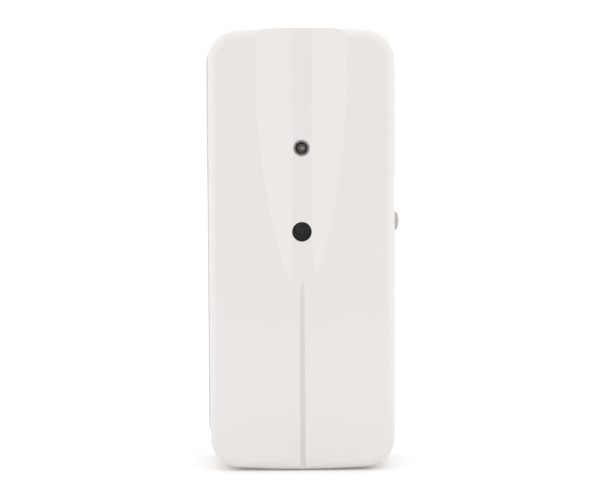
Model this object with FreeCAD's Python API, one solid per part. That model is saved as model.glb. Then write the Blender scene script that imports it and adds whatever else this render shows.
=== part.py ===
# Wall-mounted glass break sensor: a snap-together plastic case with a scooped front, a status
# light, a microphone behind a foam plug, a side test button, a tamper plunger that feels the wall,
# one circuit board and one lithium cell.
#
# Millimetres. +Z is up, the front looks towards -Y, and the wall is the plane y = 0. The origin is
# the centre of the wall screw pattern, on the wall plane and half way up the case.

import FreeCAD, Part
import math
import os
from FreeCAD import Vector

# Case
CASE_HEIGHT = 109.4        # front cover, at the middle of its open edge
CASE_DEPTH = 26.0          # wall to the front
CORNER_RADIUS = 8.2
END_BOW_RADIUS = 250.0     # gentle bow of the top and bottom edges
DRAFT_ANGLE = 2.2          # degrees, top and sides slant in towards the front
SHELL_WALL = 2.0
FRONT_ROUNDING = 1.8       # rounded edge round the front
ROUNDING_BANDS = 4         # flat bands that make up this rounding
ARC_HALVES = 2             # each arc of the outline goes through a point half way
INNER_CORNER_FLATS = 4     # flats in each corner of the inner forms
INNER_BOW_FLATS = 4        # flats in each of their bowed ends

# Seam between cover and back plate
PLATE_THICKNESS = 5.0      # rim of the back plate
PLATE_FLOOR = 2.0
PLATE_PROUD = 0.25         # the back plate stands out past the cover
PLATE_CHAMFER = 0.5
SEAM_GAP = 0.3             # at the bottom, where the latch is
SEAM_GAP_TOP = 0.1         # at the top, where the hooks draw the cover in
TONGUE_THICKNESS = 1.2
TONGUE_REACH = 3.0
TONGUE_CLEARANCE = 0.15

# Scoop in the front, from the top edge down to a point
SCOOP_HALF_WIDTH = 11.2    # at the top edge
SCOOP_TIP_Z = -10.6
SCOOP_SLOPE = 3.634        # degrees, lower straight part
SCOOP_RAMP = 28.0          # height of the straight part
SCOOP_BEND = 28.0          # height over which the floor turns upright

# Groove from the scoop's point to the bottom edge
GROOVE_WIDTH = 1.0
GROOVE_DEPTH = 0.9         # at the bottom edge
GROOVE_SIDE = 0.1          # upright part of its sides, where its run-in starts
GROOVE_LIP = 0.25          # height of the bevel above them
GROOVE_START_Z = -13.8     # start of the run-in, below the scoop's point
GROOVE_CUT_HEIGHT = 2.0    # how far its tool stands out
GROOVE_RUN_IN_RADIUS = 31.0  # bend by which the groove runs out into the scoop
GROOVE_RUN_IN_TURN = 20.0    # degrees

# Wall screws
WALL_SCREW_SPACING = 60.0
WALL_SCREW_HOLE = 4.0
WALL_SCREW_PAD = 9.0
WALL_SCREW_PAD_HEIGHT = 0.8

# Snap fits between cover and back plate
TOP_HOOK_OFFSET = 12.0     # from the middle to each of the two top hooks
HOOK_WIDTH = 6.0
LATCH_WIDTH = 9.0
HOOK_REACH = 2.6           # past the end of the tongue
HOOK_BARB = 0.75
HOOK_BARB_LENGTH = 1.7
HOOK_CLEARANCE = 0.2
RELEASE_NOTCH_WIDTH = 6.0
RELEASE_NOTCH_HEIGHT = 1.2
RELEASE_NOTCH_DEPTH = 1.6

# Circuit board
BOARD_STANDOFF = 10.4      # inside of the front to the board
BOARD_THICKNESS = 1.6
BOARD_EDGE_GAP = 1.0       # board to the cover's inside at its sides
BOARD_TOP_GAP = 2.4
BOARD_CORNER_RADIUS = 6.0
BOSS_DIAMETER = 5.8
POST_SIDES = 8
BOSS_EDGE_INSET = 5.2      # boss centres from the board's side edges
BOSS_TOP_INSET = 8.0
BOSS_BOTTOM_INSET = 6.0
PIN_DIAMETER = 2.4
PIN_HOLE_CLEARANCE = 0.2
PIN_STICKOUT = 0.6
SCREW_SHANK = 2.2
SCREW_HEAD = 4.6
SCREW_HEAD_HEIGHT = 1.8
SCREW_DEPTH = 6.5
SCREW_SLOT = 0.55
SCREW_SLOT_DEPTH = 0.9
SCREW_HOLE_CLEARANCE = 0.5
PILOT_CLEARANCE = 0.1
PILOT_SPARE = 1.1          # pilot hole past the screw's tip
LEAD_WIDTH = 0.5
LEAD_HOLE = 0.9            # square, round the square leads
LEAD_STICKOUT = 1.0

# Status light
LED_Z = 24.7
LED_HOLE = 4.0
LED_LENS = 3.0
LED_FLANGE = 3.8
LED_FLANGE_HEIGHT = 1.0
LED_FLAT = 0.2             # flat on the flange, over the minus lead
LED_LENGTH = 5.3
LED_RECESS = 0.3
LED_LEAD_SPACING = 2.54
LED_SPACER = 5.0

# Microphone
MIC_Z = 4.2
MIC_HOLE = 4.8
MIC_PAD_THICKNESS = 0.8
MIC_COLLAR_WALL = 1.2
MIC_COLLAR_HEIGHT = 2.0
MIC_BOOT = 9.0
MIC_BOOT_LIP = 1.0
MIC_CAPSULE = 6.0
MIC_CAPSULE_LENGTH = 5.0
MIC_PORT = 2.0
MIC_PORT_DEPTH = 1.0
MIC_PIN_SPACING = 2.54
MIC_FOAM_RECESS = 0.2
MIC_FIT = 0.1

# Test button and its switch, on the right side
BUTTON_Z = 6.45
BUTTON_DIAMETER = 4.6
BUTTON_PROUD = 1.4
BUTTON_DOME_RADIUS = 4.5
BUTTON_EDGE_ROUNDING = 0.5
BUTTON_HOLE_CLEARANCE = 0.3
BUTTON_FLANGE = 7.0
BUTTON_FLANGE_THICKNESS = 1.0
BUTTON_FLANGE_GAP = 0.35
BUTTON_STEM = 3.0
BUTTON_STEM_LENGTH = 2.4
BUTTON_TRAVEL = 0.3
BUTTON_SWITCH_GAP = 0.05
SWITCH_AXIS_HEIGHT = 3.9   # above the board
SWITCH_WIDTH = 6.2
SWITCH_HEIGHT = 7.0
SWITCH_THICKNESS = 3.6
SWITCH_PLUNGER = 3.5
SWITCH_PLUNGER_REACH = 1.4
SWITCH_BORE_DEPTH = 2.0
SWITCH_BORE_CLEARANCE = 0.15
SWITCH_CORNER_RADIUS = 0.5

# Tamper switch, on the back of the board
TAMPER_X = 9.0
TAMPER_Z = 8.0
TAMPER_BODY = 7.0
TAMPER_BODY_HEIGHT = 4.0
TAMPER_PLUNGER = 3.0
TAMPER_TRAVEL = 1.5
TAMPER_TIP_GAP = 0.05
TAMPER_TIP_BEVEL = 0.4
TAMPER_COLLAR = 5.4
TAMPER_COLLAR_THICKNESS = 0.6
TAMPER_STOP_GAP = 0.5
TAMPER_BORE_DEPTH = 3.4
TAMPER_ENGAGEMENT = 3.0
TAMPER_CLEARANCE = 0.15
TAMPER_OPENING_CLEARANCE = 0.3
TAMPER_SPRING_WIRE = 0.4
TAMPER_SPRING_TURNS = 3.5
COIL_STEPS = 10            # straight steps in one turn of a coil
WIRE_SIDES = 6
ARC_STEPS = 2              # flat bands in a small turned rounding
SPRING_SEAT_GAP = 0.1

# Lithium cell, its tray and its contacts
CELL_DIAMETER = 17.0
CELL_LENGTH = 34.5
CELL_NUB = 5.8
CELL_NUB_HEIGHT = 1.0
CELL_BOTTOM_GAP = 6.0      # cell to the cover's inside at the bottom
TRAY_FLOOR = 1.6
TRAY_CLEARANCE = 0.2
TRAY_WALL = 1.2
TRAY_GRIP = 3.5            # the side walls rise this far past the cell's middle
TRAY_FRONT_GAP = 0.1
TRAY_SIDE_GAP = 0.45       # tray to the cover's inside at each end
TRAY_FINGER_WIDTH = 14.0
TRAY_FINGER_DEPTH = 5.5
PEG_DIAMETER = 2.0
PEG_OFFSET = 11.0
PEG_HEIGHT = 1.2
PEG_CLEARANCE = 0.1
CONTACT_THICKNESS = 0.4
CONTACT_PAD = 8.0
CONTACT_NECK = 2.3
CONTACT_BOARD_GAP = 1.3
CONTACT_PRONG = 1.5
CONTACT_PRONG_RISE = 3.0   # its top above the board's lower edge
CONTACT_FIT = 0.05
SLOT_CLEARANCE = 0.15
CELL_SPRING_LENGTH = 3.0
CELL_SPRING_RADIUS = 3.0
CELL_SPRING_WIRE = 0.6
CELL_SPRING_TURNS = 2.0
BOARD_CELL_GAP = 3.4

# Parts soldered to the board
PROCESSOR_X = -7.0
PROCESSOR_Z = 18.0
PROCESSOR_SIZE = 7.0
PROCESSOR_HEIGHT = 1.0
PROCESSOR_LEADS_PER_SIDE = 5
PROCESSOR_PITCH = 1.2
PROCESSOR_LEAD = 0.6
AMPLIFIER_X = -8.0
AMPLIFIER_Z = 2.0
AMPLIFIER_LENGTH = 4.9
AMPLIFIER_WIDTH = 3.9
AMPLIFIER_HEIGHT = 1.5
AMPLIFIER_LEADS_PER_SIDE = 4
AMPLIFIER_PITCH = 1.27
AMPLIFIER_LEAD = 0.42
LEAD_THICKNESS = 0.2
LEAD_REACH = 1.0
CHIP_STANDOFF = 0.1
CHIP_BEVEL = 0.15
CHIP_DIMPLE = 0.6
SHIELD_X = 6.0
SHIELD_BELOW_TOP = 17.0    # centre of the shield below the board's top edge
SHIELD_WIDTH = 14.0
SHIELD_LENGTH = 12.0
SHIELD_HEIGHT = 2.2
SHIELD_WALL = 0.3
SHIELD_VENT = 1.5
CRYSTAL_X = -9.0
CRYSTAL_BELOW_TOP = 19.0
CRYSTAL_LENGTH = 11.0
CRYSTAL_WIDTH = 4.7
CRYSTAL_HEIGHT = 3.6
CRYSTAL_FLANGE = 0.4
CRYSTAL_END_RADIUS = 2.3
ANTENNA_WIRE = 1.0
ANTENNA_HEIGHT = 2.6       # wire's centre line above the board
ANTENNA_EDGE_INSET = 2.6
ANTENNA_TOP_INSET = 4.0
ANTENNA_RUN = 33.0
ANTENNA_DROP = 30.0
ANTENNA_BEND = 1.6
CAPACITOR_X = -11.0
CAPACITOR_Z = -9.0
CAPACITOR_DIAMETER = 5.0
CAPACITOR_LENGTH = 7.0
CAPACITOR_BEVEL = 0.4
CHIP_LENGTH = 2.0
CHIP_WIDTH = 1.25
CHIP_HEIGHT = 0.6
CHIP_PITCH = 2.6
CHIP_ROWS_OF_THREE = (-1, 0, 1)
CHIP_ROW_OF_FOUR = (-1.5, -0.5, 0.5, 1.5)
CHIP_ROW_WITH_GAP = (-1.5, 0.5, 1.5)

# Places worked out from the sizes above
SEAM_Y = -(PLATE_THICKNESS + SEAM_GAP)
FRONT_Y = -CASE_DEPTH
FRONT_INSIDE_Y = FRONT_Y + SHELL_WALL
DRAFT = math.tan(math.radians(DRAFT_ANGLE))
BOARD_FRONT_Y = FRONT_INSIDE_Y + BOARD_STANDOFF
BOARD_BACK_Y = BOARD_FRONT_Y + BOARD_THICKNESS
INSIDE_TOP_Z = CASE_HEIGHT / 2 - SHELL_WALL
BOARD_TOP_Z = INSIDE_TOP_Z - BOARD_TOP_GAP
CELL_RADIUS = CELL_DIAMETER / 2
CELL_Z = -INSIDE_TOP_Z + CELL_BOTTOM_GAP + CELL_RADIUS
TRAY_FRONT_Y = FRONT_INSIDE_Y + TRAY_FRONT_GAP
CELL_Y = TRAY_FRONT_Y + TRAY_FLOOR + TRAY_CLEARANCE + CELL_RADIUS
BOARD_BOTTOM_Z = CELL_Z + CELL_RADIUS + BOARD_CELL_GAP
LOWER_BOSS_Z = BOARD_BOTTOM_Z + BOSS_BOTTOM_INSET
UPPER_BOSS_Z = BOARD_TOP_Z - BOSS_TOP_INSET
CONTACT_X = (CELL_LENGTH + CELL_SPRING_LENGTH) / 2
TRAY_INSIDE_X = CONTACT_X + CONTACT_THICKNESS + CONTACT_FIT
TRAY_END_X = TRAY_INSIDE_X + TRAY_WALL
CASE_WIDTH = 2 * (TRAY_END_X + TRAY_SIDE_GAP + SHELL_WALL + (SEAM_Y - TRAY_FRONT_Y) * DRAFT)
CROSSWAYS = Vector(1, 0, 0)
REARWARDS = Vector(0, 1, 0)
UPWARDS = Vector(0, 0, 1)


def side_x(y, inset=0.0):
    """Half width of the cover at depth y, measured inwards by inset."""
    return CASE_WIDTH / 2 - (SEAM_Y - y) * DRAFT - inset


BOARD_HALF_WIDTH = side_x(BOARD_BACK_Y, SHELL_WALL) - BOARD_EDGE_GAP
BOSS_X = BOARD_HALF_WIDTH - BOSS_EDGE_INSET
SWITCH_AXIS_Y = BOARD_FRONT_Y - SWITCH_AXIS_HEIGHT
SIDE_OUTSIDE_X = side_x(SWITCH_AXIS_Y)
SIDE_INSIDE_X = side_x(SWITCH_AXIS_Y, SHELL_WALL)
BUTTON_FLANGE_X = SIDE_INSIDE_X - BUTTON_FLANGE_GAP
BUTTON_TIP_X = SIDE_OUTSIDE_X + BUTTON_PROUD
BUTTON_STEM_X = BUTTON_FLANGE_X - BUTTON_FLANGE_THICKNESS - BUTTON_STEM_LENGTH
SWITCH_PLUNGER_X = BUTTON_STEM_X - BUTTON_SWITCH_GAP
SWITCH_FACE_X = SWITCH_PLUNGER_X - SWITCH_PLUNGER_REACH


def box(x0, x1, y0, y1, z0, z1):
    return Part.makeBox(x1 - x0, y1 - y0, z1 - z0, Vector(x0, y0, z0))


def rod(diameter, start, end):
    """Round bar between two points."""
    along = end - start
    return Part.makeCylinder(diameter / 2, along.Length, start, along)


def rod_back(diameter, x, z, y0, y1):
    """Round bar along the depth of the case."""
    return rod(diameter, Vector(x, y0, z), Vector(x, y1, z))


def post_back(width, x, z, y0, y1):
    """Eight-sided post along the depth of the case, as wide as a round one over its corners."""
    points = []
    for side in range(POST_SIDES):
        turn = 2 * math.pi * (side + 0.5) / POST_SIDES
        points.append(Vector(x + width / 2 * math.cos(turn), y0, z + width / 2 * math.sin(turn)))
    face = Part.Face(Part.makePolygon(points + points[:1]))
    return face.extrude(Vector(0, y1 - y0, 0))


def rounded_block(x0, x1, y0, y1, z0, z1, radius, direction):
    """Box with its edges along one direction rounded."""
    block = box(x0, x1, y0, y1, z0, z1)
    edges = [edge for edge in block.Edges
             if abs(edge.tangentAt(edge.FirstParameter).dot(direction)) > 0.99]
    return block.makeFillet(radius, edges)


def round_rims(shape, test):
    """Closed round edges whose centre passes a test."""
    return [edge for edge in shape.Edges if edge.Closed and test(edge.CenterOfMass)]


def near(a, b):
    return abs(a - b) < 1e-6


def square_hole(x, z, size, y0, y1):
    half = size / 2
    return box(x - half, x + half, y0, y1, z - half, z + half)


def outline_points(inset, drop, corner_steps=ARC_HALVES, bow_steps=ARC_HALVES):
    """Points along the case outline, as its upper and its lower half. Its corners and bows keep
    their centres, and the lower half is moved down by drop."""
    corner_x = CASE_WIDTH / 2 - CORNER_RADIUS
    bow_z = CASE_HEIGHT / 2 - END_BOW_RADIUS
    corner_z = bow_z + math.sqrt((END_BOW_RADIUS - CORNER_RADIUS) ** 2 - corner_x ** 2)
    turn = math.atan2(corner_x, corner_z - bow_z)
    corner = CORNER_RADIUS - inset
    bow = END_BOW_RADIUS - inset
    right = []
    for step in range(corner_steps):
        angle = (math.pi / 2 - turn) * step / corner_steps
        right.append((corner_x + corner * math.cos(angle), corner_z + corner * math.sin(angle)))
    crest = []
    for step in range(bow_steps + 1):
        angle = turn * (1 - 2 * step / bow_steps)
        crest.append((bow * math.sin(angle), bow_z + bow * math.cos(angle)))
    upper = right + crest + [(-x, z) for x, z in reversed(right)]
    return upper, [(-x, -z - drop) for x, z in upper]


def case_outline(inset, y, drop=0.0):
    """Closed outline of the case at depth y, with round corners and bows."""
    upper, lower = [[Vector(x, y, z) for x, z in half] for half in outline_points(inset, drop)]
    edges = [Part.LineSegment(lower[-1], upper[0]), Part.LineSegment(upper[-1], lower[0])]
    for half in (upper, lower):
        starts = range(0, len(half) - 1, ARC_HALVES)
        edges += [Part.Arc(*half[start:start + ARC_HALVES + 1]) for start in starts]
    return Part.Wire(Part.__sortEdges__([edge.toShape() for edge in edges]))


def inner_outline(inset, y, drop=0.0):
    """The same outline for the forms inside, its corners and bows made of flats."""
    upper, lower = outline_points(inset, drop, INNER_CORNER_FLATS, INNER_BOW_FLATS)
    points = [Vector(x, y, z) for x, z in upper + lower]
    return Part.makePolygon(points + points[:1])


def draft_at(y):
    """How far the draft has moved the top and the sides in at depth y. The bottom stays."""
    return (SEAM_Y - y) * DRAFT


def inner_block(inset, y_back, y_front):
    """Inner form that narrows towards the front by the draft."""
    back = inner_outline(inset + draft_at(y_back), y_back, draft_at(y_back))
    front = inner_outline(inset + draft_at(y_front), y_front, draft_at(y_front))
    return Part.makeLoft([back, front], True, True)


def scoop_depth(z):
    """Depth of the scoop's floor below the front at height z."""
    slope = math.radians(SCOOP_SLOPE)
    ramp_top = SCOOP_TIP_Z + SCOOP_RAMP
    bend_radius = SCOOP_BEND / math.sin(slope)
    if z <= ramp_top:
        return max(0.0, (z - SCOOP_TIP_Z) * math.tan(slope))
    rise = max(0.0, SCOOP_BEND - (z - ramp_top))
    left = bend_radius - math.sqrt(bend_radius ** 2 - rise ** 2)
    return SCOOP_RAMP * math.tan(slope) + bend_radius * (1 - math.cos(slope)) - left


def scoop_radius():
    """Radius of the round tool that leaves a scoop of the stated width at the top edge."""
    depth = scoop_depth(SCOOP_TIP_Z + SCOOP_RAMP + SCOOP_BEND)
    return (SCOOP_HALF_WIDTH ** 2 + depth ** 2) / (2 * depth)


def scoop_tool():
    """Solid that cuts the scoop: a sloping bar, a bend and an upright bar, all of one radius."""
    slope = math.radians(SCOOP_SLOPE)
    radius = scoop_radius()
    ramp_top = SCOOP_TIP_Z + SCOOP_RAMP
    bend_top = ramp_top + SCOOP_BEND
    outwards = Vector(0, -math.cos(slope), math.sin(slope))
    along = Vector(0, math.sin(slope), math.cos(slope))
    ramp_end = Vector(0, FRONT_Y + scoop_depth(ramp_top), ramp_top) + outwards * radius
    length = SCOOP_RAMP + CASE_HEIGHT / 2
    ramp = Part.makeCylinder(radius, length, ramp_end - along * length, along)
    floor_y = FRONT_Y + scoop_depth(bend_top)
    centre = Vector(0, floor_y - radius, bend_top)
    disc = Part.Face(Part.Wire(Part.Circle(centre, UPWARDS, radius).toShape()))
    pivot = Vector(0, floor_y - SCOOP_BEND / math.sin(slope), bend_top)
    bend = disc.revolve(pivot, CROSSWAYS, -SCOOP_SLOPE)
    run = Part.makeCylinder(radius, CASE_HEIGHT, centre, UPWARDS)
    return ramp.fuse([bend, run])


def groove_tool():
    """Round-bottomed slot with bevelled lips. It bends up out of the scoop's point and runs to
    the bottom edge."""
    radius = GROOVE_WIDTH / 2
    rise = GROOVE_SIDE + GROOVE_LIP
    drop = GROOVE_START_Z + CASE_HEIGHT / 2
    fall = math.atan2(GROOVE_DEPTH - radius - rise, drop)
    along = Vector(0, math.sin(fall), -math.cos(fall))
    outwards = Vector(0, -math.cos(fall), -math.sin(fall))
    middle = Vector(0, FRONT_Y + rise, GROOVE_START_Z)
    right = [(radius, 0), (radius, GROOVE_SIDE),
             (radius + GROOVE_CUT_HEIGHT, GROOVE_SIDE + GROOVE_CUT_HEIGHT)]
    rim = right + [(-x, height) for x, height in reversed(right)]
    rim = Part.makePolygon([middle + x * CROSSWAYS + height * outwards for x, height in rim])
    ends = [vertex.Point for vertex in rim.OrderedVertexes]
    floor = Part.Arc(ends[-1], middle - outwards * radius, ends[0]).toShape()
    profile = Part.Face(Part.Wire(rim.Edges + [floor]))
    slot = profile.extrude(along * (drop + CORNER_RADIUS))
    pivot = middle + outwards * GROOVE_RUN_IN_RADIUS
    run_in = profile.revolve(pivot, CROSSWAYS, GROOVE_RUN_IN_TURN)
    return slot.fuse(run_in).removeSplitter()


def rounding_steps():
    """Steps of the front rounding, as its setback from the side and its rise to the front."""
    turns = [math.pi / 2 * step / ROUNDING_BANDS for step in range(ROUNDING_BANDS + 1)]
    return [(FRONT_ROUNDING * (1 - math.cos(turn)), FRONT_ROUNDING * math.sin(turn))
            for turn in turns]


def rounded_form():
    """The case's outer form without its scoop: drafted sides and a rounded front edge."""
    start_y = FRONT_Y + FRONT_ROUNDING
    draft = draft_at(start_y)
    outlines = [case_outline(0, SEAM_Y)]
    outlines += [case_outline(draft + back, start_y - rise, draft)
                 for back, rise in rounding_steps()]
    return Part.makeLoft(outlines, True, True)


def scoop_flare():
    """Rounds the edge where the scoop runs out over the top: a bar that widens upwards."""
    radius = scoop_radius()
    floor_y = FRONT_Y + scoop_depth(SCOOP_TIP_Z + SCOOP_RAMP + SCOOP_BEND)
    start_z = CASE_HEIGHT / 2 - draft_at(floor_y) - FRONT_ROUNDING
    profile = [(radius + back, start_z + rise) for back, rise in rounding_steps()]
    top_z = start_z + 2 * FRONT_ROUNDING
    profile += [(radius + FRONT_ROUNDING, top_z), (0, top_z), (0, start_z)]
    points = [Vector(out, floor_y - radius, z) for out, z in profile]
    face = Part.Face(Part.makePolygon(points + points[:1]))
    return face.revolve(Vector(0, floor_y - radius, 0), UPWARDS, 360)


def cover_skin():
    """The cover's outer form, solid."""
    form = rounded_form().cut(scoop_tool()).cut(scoop_flare()).removeSplitter()
    return form.cut(groove_tool())


def scoop_inside(wall):
    """Plainer scoop for the inside: what a sloping and an upright bar share, one wall larger."""
    slope = math.radians(SCOOP_SLOPE)
    radius = scoop_radius()
    depth = scoop_depth(SCOOP_TIP_Z + SCOOP_RAMP + SCOOP_BEND)
    outwards = Vector(0, -math.cos(slope), math.sin(slope))
    along = Vector(0, math.sin(slope), math.cos(slope))
    foot = Vector(0, FRONT_Y, SCOOP_TIP_Z) + outwards * radius - along * CASE_HEIGHT
    ramp = Part.makeCylinder(radius + wall, 2 * CASE_HEIGHT, foot, along)
    foot = Vector(0, FRONT_Y + depth - radius, -CASE_HEIGHT)
    return ramp.common(Part.makeCylinder(radius + wall, 2 * CASE_HEIGHT, foot, UPWARDS))


def cover_cavity():
    """The hollow of the cover, one wall inside its outer form."""
    hollow = inner_block(SHELL_WALL, SEAM_Y + SEAM_GAP, FRONT_INSIDE_Y)
    return hollow.cut(scoop_inside(SHELL_WALL)).removeSplitter()


def board_corners():
    """Boss places as x, z and whether a screw sits there."""
    return [(BOSS_X, UPPER_BOSS_Z, True), (-BOSS_X, UPPER_BOSS_Z, False),
            (-BOSS_X, LOWER_BOSS_Z, True), (BOSS_X, LOWER_BOSS_Z, False)]


def hook_places():
    """Snap hooks as middle x, width and the side they face, up or down."""
    return [(TOP_HOOK_OFFSET, HOOK_WIDTH, 1), (-TOP_HOOK_OFFSET, HOOK_WIDTH, 1),
            (0.0, LATCH_WIDTH, -1)]


def hook_limits():
    """Depths at which a hook's barb starts and ends."""
    tongue_end = SEAM_Y + SEAM_GAP - TONGUE_REACH
    return tongue_end - HOOK_REACH, tongue_end - HOOK_REACH + HOOK_BARB_LENGTH


def hook_band(inset_outer, inset_inner, x, width, side, y_front, y_back):
    """Piece of a thin ring that follows the case outline, cut to one hook's width."""
    ring = inner_block(inset_outer, y_back, y_front)
    ring = ring.cut(inner_block(inset_inner, y_back, y_front))
    far = CASE_HEIGHT
    low, high = (0, far) if side > 0 else (-far, 0)
    return ring.common(box(x - width / 2, x + width / 2, y_front, y_back, low, high))


def mic_seat_y():
    """Flat seat inside the front for the microphone's boot."""
    return FRONT_Y + scoop_depth(MIC_Z) + SHELL_WALL + MIC_PAD_THICKNESS


def front_cover():
    cover = cover_skin().cut(cover_cavity())
    root_y = FRONT_Y + SHELL_WALL / 2
    for x, z, screwed in board_corners():
        boss = post_back(BOSS_DIAMETER, x, z, root_y, BOARD_FRONT_Y)
        if screwed:
            cover = cover.fuse(boss)
            pilot = SCREW_SHANK + PILOT_CLEARANCE
            depth = SCREW_DEPTH + PILOT_SPARE
            cover = cover.cut(post_back(pilot, x, z, BOARD_FRONT_Y - depth, BOARD_FRONT_Y))
        else:
            pin = post_back(PIN_DIAMETER, x, z, BOARD_FRONT_Y - PIN_DIAMETER,
                            BOARD_BACK_Y + PIN_STICKOUT)
            cover = cover.fuse([boss, pin])
    collar = MIC_BOOT + 2 * MIC_FIT + 2 * MIC_COLLAR_WALL
    seat = mic_seat_y()
    ring = rod_back(collar, 0, MIC_Z, FRONT_Y + scoop_depth(MIC_Z) + SHELL_WALL / 2,
                    seat + MIC_COLLAR_HEIGHT)
    ring = ring.cut(rod_back(MIC_BOOT + 2 * MIC_FIT, 0, MIC_Z, seat, seat + MIC_COLLAR_HEIGHT))
    ring = ring.cut(scoop_inside(SHELL_WALL / 2))
    cover = cover.fuse(ring)
    for side in (-1, 1):
        cover = cover.fuse(post_back(PEG_DIAMETER, side * PEG_OFFSET, CELL_Z,
                                     root_y, TRAY_FRONT_Y + PEG_HEIGHT))
    cover = cover.cut(rod_back(MIC_HOLE, 0, MIC_Z, FRONT_Y, seat))
    cover = cover.cut(rod_back(LED_HOLE, 0, LED_Z, FRONT_Y,
                               FRONT_Y + scoop_depth(LED_Z) + 2 * SHELL_WALL))
    cover = cover.cut(rod(BUTTON_DIAMETER + BUTTON_HOLE_CLEARANCE,
                          Vector(SIDE_INSIDE_X - SHELL_WALL, SWITCH_AXIS_Y, BUTTON_Z),
                          Vector(SIDE_OUTSIDE_X + SHELL_WALL, SWITCH_AXIS_Y, BUTTON_Z)))
    barb_front, barb_back = hook_limits()
    for x, width, side in hook_places():
        pocket = hook_band(SHELL_WALL - HOOK_BARB, SHELL_WALL + TONGUE_CLEARANCE,
                           x, width + 2 * HOOK_CLEARANCE, side,
                           barb_front - HOOK_CLEARANCE, barb_back + HOOK_CLEARANCE)
        cover = cover.cut(pocket)
    return cover.removeSplitter()


def rim_slant():
    """What is cut off the front of the plate's rim, so that its gap to the cover narrows upwards."""
    lean = (SEAM_GAP - SEAM_GAP_TOP) / CASE_HEIGHT
    far_z = CASE_HEIGHT
    middle_y = -PLATE_THICKNESS - lean * CASE_HEIGHT / 2
    points = [Vector(-CASE_WIDTH, middle_y + lean * far_z, -far_z),
              Vector(-CASE_WIDTH, middle_y - lean * far_z, far_z),
              Vector(-CASE_WIDTH, FRONT_Y, far_z),
              Vector(-CASE_WIDTH, FRONT_Y, -far_z)]
    face = Part.Face(Part.makePolygon(points + points[:1]))
    return face.extrude(2 * CASE_WIDTH * CROSSWAYS)


def back_plate():
    plate = Part.Face(case_outline(-PLATE_PROUD, 0)).extrude(Vector(0, SEAM_Y, 0))
    rear = [edge for edge in plate.Edges if all(near(v.Y, 0) for v in edge.Vertexes)]
    plate = plate.makeChamfer(PLATE_CHAMFER, rear).cut(rim_slant())
    ring_outer = SHELL_WALL + TONGUE_CLEARANCE
    ring_inner = ring_outer + TONGUE_THICKNESS
    foot = draft_at(-PLATE_THICKNESS)
    recess = Part.Face(inner_outline(ring_inner + foot, -PLATE_FLOOR, foot))
    plate = plate.cut(recess.extrude(Vector(0, SEAM_Y + PLATE_FLOOR, 0)))
    tongue_end = -PLATE_THICKNESS - TONGUE_REACH
    tongue = inner_block(ring_outer, -PLATE_THICKNESS, tongue_end)
    tongue = tongue.cut(inner_block(ring_inner, -PLATE_THICKNESS, tongue_end))
    plate = plate.fuse(tongue)
    barb_front, barb_back = hook_limits()
    for x, width, side in hook_places():
        arm = hook_band(ring_outer, ring_inner, x, width, side, barb_front, -PLATE_THICKNESS)
        barb = hook_band(SHELL_WALL - HOOK_BARB + HOOK_CLEARANCE, ring_inner, x, width, side,
                         barb_front, barb_back)
        plate = plate.fuse([arm, barb])
    for side in (-1, 1):
        z = side * WALL_SCREW_SPACING / 2
        plate = plate.fuse(rod_back(WALL_SCREW_PAD, 0, z,
                                    -PLATE_FLOOR - WALL_SCREW_PAD_HEIGHT, -PLATE_FLOOR / 2))
        plate = plate.cut(rod_back(WALL_SCREW_HOLE, 0, z, -PLATE_THICKNESS, 0))
    opening = TAMPER_PLUNGER + 2 * TAMPER_OPENING_CLEARANCE
    plate = plate.cut(rod_back(opening, TAMPER_X, TAMPER_Z, -PLATE_THICKNESS, 0))
    notch_z = -CASE_HEIGHT / 2 - PLATE_PROUD
    notch = box(-RELEASE_NOTCH_WIDTH / 2, RELEASE_NOTCH_WIDTH / 2, SEAM_Y,
                -PLATE_THICKNESS + RELEASE_NOTCH_DEPTH, notch_z, notch_z + RELEASE_NOTCH_HEIGHT)
    return plate.cut(notch).removeSplitter()


def lead_pair(spacing, z, y0, y1):
    """Two square leads side by side."""
    half = LEAD_WIDTH / 2
    return [box(x - half, x + half, y0, y1, z - half, z + half)
            for x in (-spacing / 2, spacing / 2)]


def prong_z():
    """Top of the contacts' prongs, which pass through slots in the board."""
    return BOARD_BOTTOM_Z + CONTACT_PRONG_RISE


def circuit_board():
    board = box(-BOARD_HALF_WIDTH, BOARD_HALF_WIDTH, BOARD_FRONT_Y, BOARD_BACK_Y,
                BOARD_BOTTOM_Z, BOARD_TOP_Z)
    corners = [edge for edge in board.Edges
               if all(near(v.Z, BOARD_TOP_Z) for v in edge.Vertexes)
               and near(edge.Vertexes[0].X, edge.Vertexes[1].X)]
    board = board.makeFillet(BOARD_CORNER_RADIUS, corners)
    for x, z, screwed in board_corners():
        hole = SCREW_SHANK + SCREW_HOLE_CLEARANCE if screwed else PIN_DIAMETER + PIN_HOLE_CLEARANCE
        board = board.cut(post_back(hole, x, z, BOARD_FRONT_Y, BOARD_BACK_Y))
    small = [(side * LED_LEAD_SPACING / 2, LED_Z, LEAD_HOLE) for side in (-1, 1)]
    small += [(side * MIC_PIN_SPACING / 2, MIC_Z, LEAD_HOLE) for side in (-1, 1)]
    small += [(x, z, ANTENNA_WIRE + PIN_HOLE_CLEARANCE) for x, z in antenna_ends()]
    for x, z, size in small:
        board = board.cut(square_hole(x, z, size, BOARD_FRONT_Y, BOARD_BACK_Y))
    for side in (-1, 1):
        inner = side * CONTACT_X
        outer = side * (CONTACT_X + CONTACT_THICKNESS)
        low, high = min(inner, outer) - SLOT_CLEARANCE, max(inner, outer) + SLOT_CLEARANCE
        board = board.cut(box(low, high, BOARD_FRONT_Y, BOARD_BACK_Y,
                              prong_z() - CONTACT_PRONG - SLOT_CLEARANCE,
                              prong_z() + SLOT_CLEARANCE))
    return board


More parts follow.
